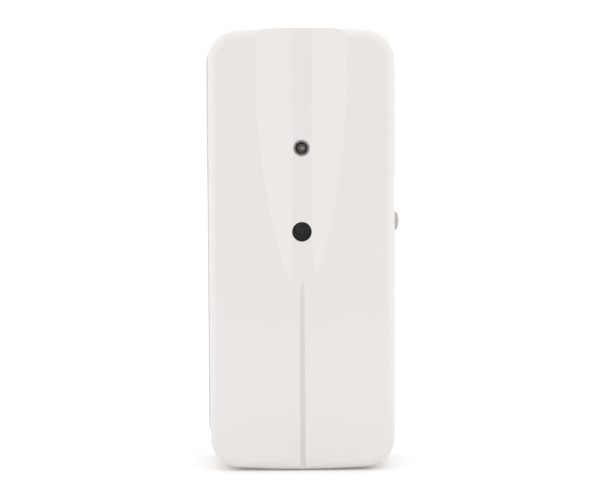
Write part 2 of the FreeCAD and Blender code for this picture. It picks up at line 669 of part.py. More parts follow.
def board_screws():
    """Pan-head screws that hold the board to two of the cover's bosses."""
    screws = []
    for x, z, screwed in board_corners():
        if not screwed:
            continue
        head_back = BOARD_BACK_Y + SCREW_HEAD_HEIGHT
        head = rod_back(SCREW_HEAD, x, z, BOARD_BACK_Y, head_back)
        tip = BOARD_FRONT_Y - SCREW_DEPTH
        shank = post_back(SCREW_SHANK, x, z, tip, BOARD_BACK_Y)
        slot = SCREW_SLOT / 2
        deep = head_back - SCREW_SLOT_DEPTH
        arm = SCREW_SHANK / 2
        cross = box(x - arm, x + arm, deep, head_back, z - slot, z + slot)
        cross = cross.fuse(box(x - slot, x + slot, deep, head_back, z - arm, z + arm))
        screws.append(head.fuse(shank).cut(cross))
    return Part.makeCompound(screws)


def turned(profile, x, z):
    """Solid of revolution about a line along the depth, from radius and depth pairs."""
    points = [Vector(x + radius, y, z) for radius, y in profile]
    wire = Part.makePolygon(points + points[:1])
    return Part.Face(wire).revolve(Vector(x, 0, z), REARWARDS, 360)


def led_tip_y():
    return FRONT_Y + scoop_depth(LED_Z) + LED_RECESS


def led_base_y():
    return led_tip_y() + LED_LENGTH


def status_led():
    tip, base = led_tip_y(), led_base_y()
    radius = LED_LENS / 2
    profile = [(out, tip + radius - along) for along, out in arc_profile(radius, 0, 90)]
    body = turned(profile + [(radius, base), (0, base)], 0, LED_Z)
    flange = rod_back(LED_FLANGE, 0, LED_Z, base - LED_FLANGE_HEIGHT, base)
    flat = LED_FLANGE / 2 - LED_FLAT
    flange = flange.common(box(-flat, LED_FLANGE, base - LED_FLANGE_HEIGHT, base,
                               LED_Z - LED_FLANGE, LED_Z + LED_FLANGE))
    return body.fuse(flange).removeSplitter()


def led_leads():
    return Part.makeCompound(lead_pair(LED_LEAD_SPACING, LED_Z, led_base_y(),
                                       BOARD_BACK_Y + LEAD_STICKOUT))


def led_spacer():
    """Short post that holds the light off the board."""
    spacer = rod_back(LED_SPACER, 0, LED_Z, led_base_y(), BOARD_FRONT_Y)
    for side in (-1, 1):
        spacer = spacer.cut(square_hole(side * LED_LEAD_SPACING / 2, LED_Z, LEAD_HOLE,
                                        led_base_y(), BOARD_FRONT_Y))
    return spacer


def capsule_front_y():
    return mic_seat_y() + MIC_FIT + MIC_BOOT_LIP


def microphone_capsule():
    front = capsule_front_y()
    back = front + MIC_CAPSULE_LENGTH
    can = rod_back(MIC_CAPSULE, 0, MIC_Z, front, back)
    can = can.cut(rod_back(MIC_PORT, 0, MIC_Z, front, front + MIC_PORT_DEPTH))
    return can.fuse(lead_pair(MIC_PIN_SPACING, MIC_Z, back - LEAD_WIDTH,
                              BOARD_BACK_Y + LEAD_STICKOUT))


def microphone_boot():
    """Rubber sleeve that seals the capsule to the inside of the front."""
    front = mic_seat_y() + MIC_FIT
    bore = MIC_CAPSULE / 2 + MIC_FIT / 2
    port = MIC_HOLE / 2
    pocket_end = capsule_front_y() + MIC_CAPSULE_LENGTH
    outer = MIC_BOOT / 2
    profile = [(port, front), (outer, front), (outer, BOARD_FRONT_Y), (0, BOARD_FRONT_Y),
               (0, pocket_end), (bore, pocket_end), (bore, capsule_front_y()),
               (port, capsule_front_y())]
    boot = turned(profile, 0, MIC_Z)
    for side in (-1, 1):
        boot = boot.cut(square_hole(side * MIC_PIN_SPACING / 2, MIC_Z, LEAD_HOLE,
                                    pocket_end, BOARD_FRONT_Y))
    return boot


def microphone_foam():
    front = FRONT_Y + scoop_depth(MIC_Z) + MIC_FOAM_RECESS
    return rod_back(MIC_HOLE - 2 * MIC_FIT, 0, MIC_Z, front, capsule_front_y() - MIC_FIT / 2)


def rod_across(diameter, x0, x1):
    """Round bar on the test button's line."""
    return rod(diameter, Vector(x0, SWITCH_AXIS_Y, BUTTON_Z), Vector(x1, SWITCH_AXIS_Y, BUTTON_Z))


def arc_profile(radius, start, end):
    """Points on an arc about a centre, as offsets along and out from the axis."""
    turns = [math.radians(start + (end - start) * step / ARC_STEPS) for step in range(ARC_STEPS + 1)]
    return [(radius * math.cos(turn), radius * math.sin(turn)) for turn in turns]


def domed_rod(diameter, dome, rounding, back, tip):
    """Round bar on the button's line whose tip is a shallow dome with a rounded edge."""
    radius = diameter / 2
    centre = tip - dome
    edge_out = radius - rounding
    edge_x = centre + math.sqrt((dome - rounding) ** 2 - edge_out ** 2)
    turn = math.degrees(math.atan2(edge_out, edge_x - centre))
    profile = [(centre + along, out) for along, out in arc_profile(dome, 0, turn)]
    profile += [(edge_x + along, edge_out + out)
                for along, out in arc_profile(rounding, turn, 90)[1:]]
    profile += [(back, radius), (back, 0)]
    points = [Vector(x, SWITCH_AXIS_Y + out, BUTTON_Z) for x, out in profile]
    face = Part.Face(Part.makePolygon(points + points[:1]))
    return face.revolve(Vector(0, SWITCH_AXIS_Y, BUTTON_Z), CROSSWAYS, 360)


def test_button():
    shank = domed_rod(BUTTON_DIAMETER, BUTTON_DOME_RADIUS, BUTTON_EDGE_ROUNDING,
                      BUTTON_FLANGE_X, BUTTON_TIP_X)
    flange_back = BUTTON_FLANGE_X - BUTTON_FLANGE_THICKNESS
    flange = rod_across(BUTTON_FLANGE, flange_back, BUTTON_FLANGE_X)
    stem = rod_across(BUTTON_STEM, BUTTON_STEM_X, flange_back)
    return shank.fuse([flange, stem]).removeSplitter()


def test_switch_body():
    body = rounded_block(SWITCH_FACE_X - SWITCH_THICKNESS, SWITCH_FACE_X,
                         BOARD_FRONT_Y - SWITCH_HEIGHT, BOARD_FRONT_Y,
                         BUTTON_Z - SWITCH_WIDTH / 2, BUTTON_Z + SWITCH_WIDTH / 2,
                         SWITCH_CORNER_RADIUS, CROSSWAYS)
    bore = SWITCH_PLUNGER + 2 * SWITCH_BORE_CLEARANCE
    return body.cut(rod_across(bore, SWITCH_FACE_X - SWITCH_BORE_DEPTH, SWITCH_FACE_X))


def test_switch_plunger():
    inner = SWITCH_FACE_X - SWITCH_BORE_DEPTH + 2 * BUTTON_TRAVEL
    return rod_across(SWITCH_PLUNGER, inner, SWITCH_PLUNGER_X)


def tamper_collar_y():
    """Rear face of the plunger's collar at rest, pressed in by the wall."""
    return -PLATE_FLOOR - TAMPER_STOP_GAP - TAMPER_TRAVEL


def tamper_body_y():
    return BOARD_BACK_Y + TAMPER_BODY_HEIGHT


def tamper_switch_body():
    half = TAMPER_BODY / 2
    body = rounded_block(TAMPER_X - half, TAMPER_X + half, BOARD_BACK_Y, tamper_body_y(),
                         TAMPER_Z - half, TAMPER_Z + half, SWITCH_CORNER_RADIUS, REARWARDS)
    bore = TAMPER_PLUNGER + 2 * TAMPER_CLEARANCE
    return body.cut(rod_back(bore, TAMPER_X, TAMPER_Z, tamper_body_y() - TAMPER_BORE_DEPTH,
                             tamper_body_y()))


def tamper_plunger():
    shaft = rod_back(TAMPER_PLUNGER, TAMPER_X, TAMPER_Z,
                     tamper_body_y() - TAMPER_ENGAGEMENT, -TAMPER_TIP_GAP)
    rims = round_rims(shaft, lambda centre: near(centre.y, -TAMPER_TIP_GAP))
    shaft = shaft.makeChamfer(TAMPER_TIP_BEVEL, rims)
    collar = rod_back(TAMPER_COLLAR, TAMPER_X, TAMPER_Z,
                      tamper_collar_y() - TAMPER_COLLAR_THICKNESS, tamper_collar_y())
    return shaft.fuse(collar).removeSplitter()


def wire_section(middle, across, along, wire):
    """Many-sided section of a thin wire, square to its first run."""
    up = along.cross(across)
    corners = []
    for side in range(WIRE_SIDES):
        turn = 2 * math.pi * side / WIRE_SIDES
        corners.append(middle + across * (wire / 2 * math.cos(turn))
                       + up * (wire / 2 * math.sin(turn)))
    return Part.makePolygon(corners + corners[:1])


def coil(wire, radius, turns, foot, direction, length):
    """Wire coil of the given overall length, standing on foot, in short straight steps."""
    steps = round(turns * COIL_STEPS)
    rise = (length - wire) / steps
    path = []
    for step in range(steps + 1):
        turn = 2 * math.pi * step / COIL_STEPS
        path.append(Vector(radius * math.cos(turn), radius * math.sin(turn),
                           wire / 2 + step * rise))
    section = wire_section(path[0], CROSSWAYS, (path[1] - path[0]).normalize(), wire)
    spring = Part.makePolygon(path).makePipeShell([section], True, False, 1)
    turn = FreeCAD.Rotation(UPWARDS, direction)
    spring.Placement = FreeCAD.Placement(foot, turn).multiply(spring.Placement)
    return spring


def tamper_spring():
    foot_y = tamper_body_y() + SPRING_SEAT_GAP
    length = tamper_collar_y() - TAMPER_COLLAR_THICKNESS - SPRING_SEAT_GAP - foot_y
    radius = (TAMPER_PLUNGER + TAMPER_COLLAR) / 4
    return coil(TAMPER_SPRING_WIRE, radius, TAMPER_SPRING_TURNS,
                Vector(TAMPER_X, foot_y, TAMPER_Z), REARWARDS, length)


def battery():
    """Lithium cell, its positive end to the right."""
    end = CONTACT_X - CONTACT_FIT
    start = end - CELL_LENGTH + 2 * CONTACT_FIT
    cell = rod(CELL_DIAMETER, Vector(start, CELL_Y, CELL_Z),
               Vector(end - CELL_NUB_HEIGHT, CELL_Y, CELL_Z))
    nub = rod(CELL_NUB, Vector(end - 2 * CELL_NUB_HEIGHT, CELL_Y, CELL_Z),
              Vector(end, CELL_Y, CELL_Z))
    return cell.fuse(nub)


def battery_holder():
    """Moulded tray that clips round the cell and holds a contact at each end."""
    radius = CELL_RADIUS + TRAY_CLEARANCE
    half_height = radius + TRAY_WALL
    rim_y = CELL_Y + TRAY_GRIP
    tray = rounded_block(-TRAY_END_X, TRAY_END_X, TRAY_FRONT_Y, rim_y,
                         CELL_Z - half_height, CELL_Z + half_height, TRAY_WALL, REARWARDS)
    tray = tray.cut(rod(2 * radius, Vector(-TRAY_INSIDE_X, CELL_Y, CELL_Z),
                        Vector(TRAY_INSIDE_X, CELL_Y, CELL_Z)))
    finger = TRAY_FINGER_WIDTH / 2
    tray = tray.cut(box(-finger, finger, rim_y - TRAY_FINGER_DEPTH, rim_y,
                        CELL_Z - half_height, CELL_Z + half_height))
    for side in (-1, 1):
        inner = side * (CONTACT_X - CONTACT_FIT)
        outer = side * TRAY_INSIDE_X
        low, high = min(inner, outer), max(inner, outer)
        pad_front = CELL_Y - CONTACT_PAD / 2 - CONTACT_FIT
        tray = tray.cut(box(low, high, pad_front, rim_y, CELL_Z, CELL_Z + half_height))
        tray = tray.cut(rod_back(PEG_DIAMETER + 2 * PEG_CLEARANCE, side * PEG_OFFSET, CELL_Z,
                                 TRAY_FRONT_Y, CELL_Y))
    return tray


def battery_contact(side):
    """Flat metal contact with a neck up to the board and a prong through its slot."""
    half = CONTACT_PAD / 2
    neck_back = BOARD_FRONT_Y - CONTACT_BOARD_GAP
    neck_front = neck_back - CONTACT_NECK
    prong_back = BOARD_BACK_Y + LEAD_STICKOUT
    x = side * CONTACT_X if side > 0 else side * (CONTACT_X + CONTACT_THICKNESS)
    corners = [(CELL_Y - half, CELL_Z - half), (CELL_Y + half, CELL_Z - half),
               (CELL_Y + half, CELL_Z + half), (neck_back, CELL_Z + half),
               (neck_back, prong_z() - CONTACT_PRONG), (prong_back, prong_z() - CONTACT_PRONG),
               (prong_back, prong_z()), (neck_front, prong_z()),
               (neck_front, CELL_Z + half), (CELL_Y - half, CELL_Z + half)]
    points = [Vector(x, y, z) for y, z in corners]
    face = Part.Face(Part.makePolygon(points + points[:1]))
    return face.extrude(Vector(CONTACT_THICKNESS, 0, 0))


def battery_spring():
    """Coil that pushes the cell against the plus contact."""
    foot = Vector(-CONTACT_X + CONTACT_FIT, CELL_Y, CELL_Z)
    return coil(CELL_SPRING_WIRE, CELL_SPRING_RADIUS, CELL_SPRING_TURNS, foot, CROSSWAYS,
                CELL_SPRING_LENGTH - 2 * CONTACT_FIT)


def chip(x, z, width, length, height):
    """Chip body with bevelled top edges and a dimple by its first lead."""
    base = BOARD_BACK_Y + CHIP_STANDOFF
    top = BOARD_BACK_Y + height
    body = box(x - width / 2, x + width / 2, base, top, z - length / 2, z + length / 2)
    rim = [edge for edge in body.Edges if all(near(v.Y, top) for v in edge.Vertexes)]
    body = body.makeChamfer(CHIP_BEVEL, rim)
    corner_x = x - width / 2 + 2 * CHIP_DIMPLE
    corner_z = z + length / 2 - 2 * CHIP_DIMPLE
    return body.cut(square_hole(corner_x, corner_z, CHIP_DIMPLE, top - CHIP_BEVEL, top))


def gull_wing(height):
    """Side view of one bent lead: distance out from the chip and height above the board."""
    middle = height / 2
    foot = LEAD_REACH / 2
    thick = LEAD_THICKNESS
    return [(0, middle), (LEAD_REACH - foot, thick), (LEAD_REACH, thick), (LEAD_REACH, 0),
            (LEAD_REACH - foot, 0), (0, middle - thick)]


def lead_row(x, z, half_body, height, count, pitch, turn, lead_width):
    """Row of bent leads on one side of a chip, turned about the chip's middle."""
    leads = []
    for index in range(count):
        offset = (index - (count - 1) / 2) * pitch - lead_width / 2
        points = [Vector(half_body + out, BOARD_BACK_Y + up, offset)
                  for out, up in gull_wing(height)]
        lead = Part.Face(Part.makePolygon(points + points[:1])).extrude(Vector(0, 0, lead_width))
        lead.rotate(Vector(0, 0, 0), REARWARDS, turn)
        lead.translate(Vector(x, 0, z))
        leads.append(lead)
    return leads


def processor_chip():
    return chip(PROCESSOR_X, PROCESSOR_Z, PROCESSOR_SIZE, PROCESSOR_SIZE, PROCESSOR_HEIGHT)


def processor_leads():
    leads = []
    for turn in (0, 90, 180, 270):
        leads += lead_row(PROCESSOR_X, PROCESSOR_Z, PROCESSOR_SIZE / 2, PROCESSOR_HEIGHT,
                          PROCESSOR_LEADS_PER_SIDE, PROCESSOR_PITCH, turn, PROCESSOR_LEAD)
    return Part.makeCompound(leads)


def amplifier_chip():
    return chip(AMPLIFIER_X, AMPLIFIER_Z, AMPLIFIER_WIDTH, AMPLIFIER_LENGTH, AMPLIFIER_HEIGHT)


def amplifier_leads():
    leads = []
    for turn in (0, 180):
        leads += lead_row(AMPLIFIER_X, AMPLIFIER_Z, AMPLIFIER_WIDTH / 2, AMPLIFIER_HEIGHT,
                          AMPLIFIER_LEADS_PER_SIDE, AMPLIFIER_PITCH, turn, AMPLIFIER_LEAD)
    return Part.makeCompound(leads)


def radio_shield():
    """Pressed metal can over the radio, open towards the board."""
    z = BOARD_TOP_Z - SHIELD_BELOW_TOP
    half_width, half_length = SHIELD_WIDTH / 2, SHIELD_LENGTH / 2
    top = BOARD_BACK_Y + SHIELD_HEIGHT
    can = rounded_block(SHIELD_X - half_width, SHIELD_X + half_width, BOARD_BACK_Y, top,
                        z - half_length, z + half_length, 2 * SHIELD_WALL, REARWARDS)
    can = can.cut(box(SHIELD_X - half_width + SHIELD_WALL, SHIELD_X + half_width - SHIELD_WALL,
                      BOARD_BACK_Y, top - SHIELD_WALL,
                      z - half_length + SHIELD_WALL, z + half_length - SHIELD_WALL))
    for column in (-1, 1):
        can = can.cut(square_hole(SHIELD_X + column * half_width / 2, z, SHIELD_VENT,
                                  BOARD_BACK_Y, top))
    return can


def crystal():
    z = BOARD_TOP_Z - CRYSTAL_BELOW_TOP
    half_length, half_width = CRYSTAL_LENGTH / 2, CRYSTAL_WIDTH / 2
    top = BOARD_BACK_Y + CRYSTAL_HEIGHT
    flange = rounded_block(CRYSTAL_X - half_length, CRYSTAL_X + half_length, BOARD_BACK_Y,
                           BOARD_BACK_Y + CRYSTAL_FLANGE, z - half_width, z + half_width,
                           CRYSTAL_END_RADIUS, REARWARDS)
    inset = CRYSTAL_FLANGE
    can = rounded_block(CRYSTAL_X - half_length + inset, CRYSTAL_X + half_length - inset,
                        BOARD_BACK_Y, top, z - half_width + inset, z + half_width - inset,
                        CRYSTAL_END_RADIUS - inset, REARWARDS)
    return flange.fuse(can).removeSplitter()


def antenna_ends():
    """Where the aerial wire enters the board, as x and z."""
    x = BOARD_HALF_WIDTH - ANTENNA_EDGE_INSET
    z = BOARD_TOP_Z - ANTENNA_TOP_INSET
    return [(x - ANTENNA_RUN, z), (x, z - ANTENNA_DROP)]


def bent_path(points, reach):
    """Straight runs joined by short slanting ones, as pliers bend a stiff wire."""
    path = [points[0]]
    for before, corner, after in zip(points, points[1:], points[2:]):
        into = (corner - before).normalize()
        out = (after - corner).normalize()
        path += [corner - into * reach, corner + out * reach]
    return Part.makePolygon(path + [points[-1]])


def antenna_wire():
    """Aerial of stiff wire along the top and the right edge of the board."""
    (x0, z0), (x1, z1) = antenna_ends()
    foot = BOARD_FRONT_Y - ANTENNA_WIRE / 2
    air = BOARD_BACK_Y + ANTENNA_HEIGHT
    points = [Vector(x0, foot, z0), Vector(x0, air, z0), Vector(x1, air, z0),
              Vector(x1, air, z1), Vector(x1, foot, z1)]
    section = wire_section(points[0], CROSSWAYS, REARWARDS, ANTENNA_WIRE)
    return bent_path(points, ANTENNA_BEND).makePipeShell([section], True, False, 1)


def storage_capacitor():
    back = BOARD_FRONT_Y
    front = back - CAPACITOR_LENGTH
    radius = CAPACITOR_DIAMETER / 2
    profile = [(0, front), (radius - CAPACITOR_BEVEL, front), (radius, front + CAPACITOR_BEVEL),
               (radius, back), (0, back)]
    return turned(profile, CAPACITOR_X, CAPACITOR_Z)


def chip_places():
    """Small chip parts in short rows beside the processor and the amplifier."""
    left = PROCESSOR_X - PROCESSOR_SIZE / 2 - LEAD_REACH - CHIP_LENGTH
    right = PROCESSOR_X + PROCESSOR_SIZE / 2 + LEAD_REACH + CHIP_LENGTH
    places = [(left, PROCESSOR_Z + step * CHIP_PITCH) for step in CHIP_ROWS_OF_THREE]
    places += [(right, PROCESSOR_Z + step * CHIP_PITCH) for step in CHIP_ROW_OF_FOUR]
    beside = AMPLIFIER_X + AMPLIFIER_WIDTH / 2 + LEAD_REACH + CHIP_LENGTH
    places += [(beside, AMPLIFIER_Z + step * CHIP_PITCH) for step in CHIP_ROW_WITH_GAP]
    beside = AMPLIFIER_X - AMPLIFIER_WIDTH / 2 - LEAD_REACH - CHIP_LENGTH
    places += [(beside, AMPLIFIER_Z + step * CHIP_PITCH) for step in CHIP_ROWS_OF_THREE]
    return places


def chip_parts():
    parts = []
    for x, z in chip_places():
        parts.append(box(x - CHIP_LENGTH / 2, x + CHIP_LENGTH / 2, BOARD_BACK_Y,
                         BOARD_BACK_Y + CHIP_HEIGHT, z - CHIP_WIDTH / 2, z + CHIP_WIDTH / 2))
    return Part.makeCompound(parts)


def main():
    nodes = {
        "front_cover": front_cover(),
        "back_plate": back_plate(),
        "circuit_board": circuit_board(),
        "board_screws": board_screws(),
        "status_led": status_led(),
        "led_leads": led_leads(),
        "led_spacer": led_spacer(),
        "microphone_capsule": microphone_capsule(),
        "microphone_boot": microphone_boot(),
        "microphone_foam": microphone_foam(),
        "test_button": test_button(),
        "test_switch_body": test_switch_body(),
        "test_switch_plunger": test_switch_plunger(),
        "tamper_switch_body": tamper_switch_body(),
        "tamper_plunger": tamper_plunger(),
        "tamper_spring": tamper_spring(),
        "battery": battery(),
        "battery_holder": battery_holder(),
        "battery_contact_plus": battery_contact(1),
        "battery_contact_minus": battery_contact(-1),
        "battery_spring": battery_spring(),
        "processor_chip": processor_chip(),
        "processor_leads": processor_leads(),
        "amplifier_chip": amplifier_chip(),
        "amplifier_leads": amplifier_leads(),
        "radio_shield": radio_shield(),
        "crystal": crystal(),
        "antenna_wire": antenna_wire(),
        "storage_capacitor": storage_capacitor(),
        "chip_parts": chip_parts(),
    }
    os.makedirs("parts", exist_ok=True)
    for name, shape in nodes.items():
        shape.exportStep(os.path.join("parts", name + ".step"))
        print(f"{name}: {len(shape.Solids)} solids, valid {shape.isValid()}, "
              f"{shape.Volume:.1f} mm3")


main()
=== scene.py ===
# %% [markdown]
# # A wall sensor for breaking glass
# The sensor is a small white plastic box that hangs on a wall or stands on a shelf. Its case, its
# board and every small part on the board come from a CAD model, which stays fixed here. This
# notebook gives each part its finish, makes the pieces that are too fine for the CAD model, and
# sets up the studio. The first cell loads the model and keeps its box.

# %% Load the model
import math

import bpy
from mathutils import Euler, Matrix, Vector


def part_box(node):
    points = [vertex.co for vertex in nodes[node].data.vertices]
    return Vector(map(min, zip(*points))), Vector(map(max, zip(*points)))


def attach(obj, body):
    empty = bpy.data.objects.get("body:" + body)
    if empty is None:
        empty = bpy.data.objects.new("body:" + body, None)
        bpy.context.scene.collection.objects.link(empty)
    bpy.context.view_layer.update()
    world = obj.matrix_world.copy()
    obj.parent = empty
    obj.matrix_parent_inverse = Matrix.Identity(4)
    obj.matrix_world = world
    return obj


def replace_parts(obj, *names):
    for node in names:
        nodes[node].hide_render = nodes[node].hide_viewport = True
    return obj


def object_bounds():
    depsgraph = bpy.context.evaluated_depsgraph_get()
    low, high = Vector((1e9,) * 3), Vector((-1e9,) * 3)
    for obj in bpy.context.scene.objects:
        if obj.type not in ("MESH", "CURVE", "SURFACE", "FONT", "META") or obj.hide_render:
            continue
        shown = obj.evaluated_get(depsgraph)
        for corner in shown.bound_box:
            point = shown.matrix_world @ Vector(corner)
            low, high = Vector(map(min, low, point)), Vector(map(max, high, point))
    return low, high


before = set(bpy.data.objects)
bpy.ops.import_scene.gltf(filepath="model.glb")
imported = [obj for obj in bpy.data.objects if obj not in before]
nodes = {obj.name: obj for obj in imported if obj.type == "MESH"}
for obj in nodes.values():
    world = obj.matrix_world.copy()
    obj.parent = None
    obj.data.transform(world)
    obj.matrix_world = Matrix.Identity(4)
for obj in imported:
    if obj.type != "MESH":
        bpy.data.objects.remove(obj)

MM = 0.001
cad_box = [list(corner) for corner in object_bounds()]
print("parts loaded:", len(nodes))

# %% [markdown]
# ## Camera
# A product photographer stands well back with a long lens, so that upright edges stay upright. The
# camera here is 450 mm from the front, a little to the left and above the middle. That is why the
# rim of the wall plate shows along the left edge only.

# %% Camera
SENSOR_WIDTH = 36.0
LENS = 110.2
CAMERA_DISTANCE = 450 * MM
CAMERA_YAW = math.radians(0.8)
CAMERA_PITCH = math.radians(3.68)
CAMERA_ROLL = math.radians(-0.282)
AIM = Vector((-0.515 * MM, -26 * MM, -0.20 * MM))

turn = Euler((math.pi / 2 - CAMERA_PITCH, 0, -CAMERA_YAW), "XYZ").to_matrix()
camera = bpy.data.objects.new("camera", bpy.data.cameras.new("camera"))
bpy.context.scene.collection.objects.link(camera)
camera.data.sensor_width = SENSOR_WIDTH
camera.data.lens = LENS
camera.location = AIM + turn @ Vector((0, 0, CAMERA_DISTANCE))
camera.rotation_euler = (turn @ Matrix.Rotation(CAMERA_ROLL, 3, "Z")).to_euler()
bpy.context.scene.camera = camera
print("camera at", [round(v, 4) for v in camera.location])

# %% [markdown]
# ## Shader maths
# A finish is a graph of small nodes. Written out by hand, each sum takes four lines, so this class
# wraps one output of a node and lets + - * / add the Math node. All other nodes come from one
# method, `node`, which takes the kind of node, its settings and what its sockets get.

# %% Helpers for finishes
class Wire:
    """One output of a node, with signs for Math nodes."""

    def __init__(self, finish, socket):
        self.finish = finish
        self.socket = socket

    def math(self, operation, *others):
        values = {place: value for place, value in enumerate((self, *others))}
        return self.finish.node("ShaderNodeMath", {"operation": operation}, values)

    def __add__(self, other):
        return self.math("ADD", other)

    def __radd__(self, other):
        return self.math("ADD", other)

    def __sub__(self, other):
        return self.math("SUBTRACT", other)

    def __rsub__(self, other):
        return (self * -1.0) + other

    def __mul__(self, other):
        return self.math("MULTIPLY", other)

    def __rmul__(self, other):
        return self.math("MULTIPLY", other)

    def __truediv__(self, other):
        return self.math("DIVIDE", other)

    def above(self, edge, softness):
        """1 where the value is above an edge, 0 below, with a soft step between."""
        return ((self - (edge - softness / 2)) / softness).math("MINIMUM", 1.0).math("MAXIMUM", 0.0)


class Finish:
    """A material and the nodes in it."""

    def __init__(self, name):
        self.material = bpy.data.materials.new(name)
        self.material.use_nodes = True
        self.tree = self.material.node_tree
        self.tree.nodes.clear()

    def node(self, kind, settings=None, values=None, output=0):
        made = self.tree.nodes.new(kind)
        for name, setting in (settings or {}).items():
            if name == "stops":
                ramp = made.color_ramp.elements
                while len(ramp) < len(setting):
                    ramp.new(1.0)
                for stop, (place, color) in zip(ramp, setting):
                    stop.position = place
                    stop.color = (*color, 1.0)
            else:
                setattr(made, name, setting)
        for place, value in (values or {}).items():
            socket = made.inputs[place]
            if isinstance(value, Wire):
                self.tree.links.new(value.socket, socket)
            elif hasattr(socket.default_value, "__len__") and len(socket.default_value) == 4:
                socket.default_value = (*value, 1.0)
            else:
                socket.default_value = value
        return Wire(self, made.outputs[output])

    def place(self, scale=(1.0, 1.0, 1.0), middle=(0.0, 0.0, 0.0)):
        """Object coordinates in millimetres, measured from a middle, then scaled."""
        place = self.node("ShaderNodeTexCoord", output="Object")
        factors = [factor / MM for factor in scale]
        shift = [-offset * factor for offset, factor in zip(middle, factors)]
        return self.node("ShaderNodeMapping", None,
                         {"Vector": place, "Location": shift, "Scale": factors})

    def axes(self, vector):
        made = self.tree.nodes.new("ShaderNodeSeparateXYZ")
        self.tree.links.new(vector.socket, made.inputs[0])
        return [Wire(self, socket) for socket in made.outputs]

    def noise(self, vector, size, detail=3.0, rough=0.5):
        """Soft random pattern, its blotches about size millimetres wide."""
        return self.node("ShaderNodeTexNoise", None,
                         {"Vector": vector, "Scale": 1.0 / size, "Detail": detail,
                          "Roughness": rough})

    def mix(self, share, first, second):
        """Colour between two colours."""
        made = self.tree.nodes.new("ShaderNodeMix")
        made.data_type = "RGBA"
        for place, value in ((0, share), (6, first), (7, second)):
            socket = made.inputs[place]
            if isinstance(value, Wire):
                self.tree.links.new(value.socket, socket)
            else:
                socket.default_value = (*value, 1.0) if place else value
        return Wire(self, made.outputs[2])

    def bump(self, height, distance, strength=1.0, below=None):
        """Surface relief of the given depth in millimetres."""
        values = {"Height": height, "Distance": distance * MM, "Strength": strength}
        if below:
            values["Normal"] = below
        return self.node("ShaderNodeBump", None, values)

    def shell(self, values):
        shader = self.node("ShaderNodeBsdfPrincipled", None, values)
        end = self.tree.nodes.new("ShaderNodeOutputMaterial")
        self.tree.links.new(shader.socket, end.inputs["Surface"])
        return self.material


def tone(red, green, blue):
    """Colour as read from a screen, turned into the light it stands for."""
    def light(value):
        share = value / 255
        return share / 12.92 if share <= 0.04045 else ((share + 0.055) / 1.055) ** 2.4
    return light(red), light(green), light(blue)


def wear(name, finish):
    """Gives a CAD part its finish."""
    part = nodes[name]
    part.data.materials.clear()
    part.data.materials.append(finish)


print("helpers ready")

# %% [markdown]
# ## Case plastic
# The case is injection moulded in white ABS. Its surface is polished, so windows and lamps show in
# it as soft bands, and it has the very fine orange skin of a moulding. A little colour drifts over
# the part, and the foot is painted a touch darker and cooler than the top, as painted shade. Bump
# alone carries the skin, because it is only a few thousandths of a millimetre deep. A Bevel node
# rounds the sharp edges of the mesh for the light, as a mould does. The wall plate comes from a
# duller mould.

# %% Case plastic
# Painted shade: the foot colour is a touch darker and cooler than the top colour.
CASE_COLOR_TOP_LIT = tone(242, 238, 235)
CASE_COLOR_FOOT_SHADED = tone(240, 237, 235)
CASE_COLOR_DEEP = tone(240, 236, 233)
PAINTED_SHADE_RUN = 80.0
CASE_ROUGHNESS = 0.05
CASE_GLOSS = 0.6
EDGE_RADIUS = 0.35
PLATE_DULLER = 0.15
DRIFT_SIZE = 30.0
WAVE_SIZE = 3.5
SKIN_SIZE = 0.35
SKIN_DEPTH = 0.002
WAVE_DEPTH = 0.004


def moulded_white(name, base_rough):
    finish = Finish(name)
    where = finish.place()
    drift = finish.noise(where, DRIFT_SIZE, detail=1.0)
    skin = finish.noise(where, SKIN_SIZE, detail=2.0)
    waves = finish.noise(where, WAVE_SIZE, detail=1.0)
    soft_edges = finish.node("ShaderNodeBevel", {"samples": 8}, {"Radius": EDGE_RADIUS * MM})
    height = finish.axes(where)[2]
    # Painted shade: the colour runs from the darker, cooler foot up to the top.
    color = finish.mix(height.above(0.0, PAINTED_SHADE_RUN), CASE_COLOR_FOOT_SHADED, CASE_COLOR_TOP_LIT)
    color = finish.mix(drift.above(0.5, 0.6) * 0.6, color, CASE_COLOR_DEEP)
    return finish.shell({
        "Base Color": color,
        "Roughness": finish.noise(where, 1.2) * 0.04 + (base_rough - 0.02),
        "Normal": finish.bump(skin, SKIN_DEPTH, 0.5,
                              finish.bump(waves, WAVE_DEPTH, 0.5, soft_edges)),
        "Specular IOR Level": CASE_GLOSS,
    })


wear("front_cover", moulded_white("case plastic", CASE_ROUGHNESS))
wear("back_plate", moulded_white("wall plate plastic", CASE_ROUGHNESS + PLATE_DULLER))
print("case finished")

# %% [markdown]
# ## Plain plastics and rubber
# Most small parts are plain mouldings. One function gives them a slow drift between two close
# colours, a fine grain that bump and gloss share, and here and there a duller patch, as handling
# leaves it. The button is grey ABS, the switches are black, their plungers cream, and the tray of
# the cell is black. The boot is rubber, so it is dull and its grain is coarser.

# %% Plastics and rubber
def grained(name, light, deep, rough, grain=0.25, depth=0.006, more=None):
    """Plastic or rubber. The grain is given in millimetres, as its size and its depth."""
    finish = Finish(name)
    where = finish.place()
    fine = finish.noise(where, grain)
    dull = finish.noise(where, 3.0, detail=2.0).above(0.6, 0.2)
    values = {
        "Base Color": finish.mix(finish.noise(where, 6.0).above(0.5, 0.5), light, deep),
        "Roughness": fine * 0.1 + dull * 0.08 + (rough - 0.09),
        "Normal": finish.bump(fine, depth, 0.6),
    }
    values.update(more or {})
    return finish.shell(values)


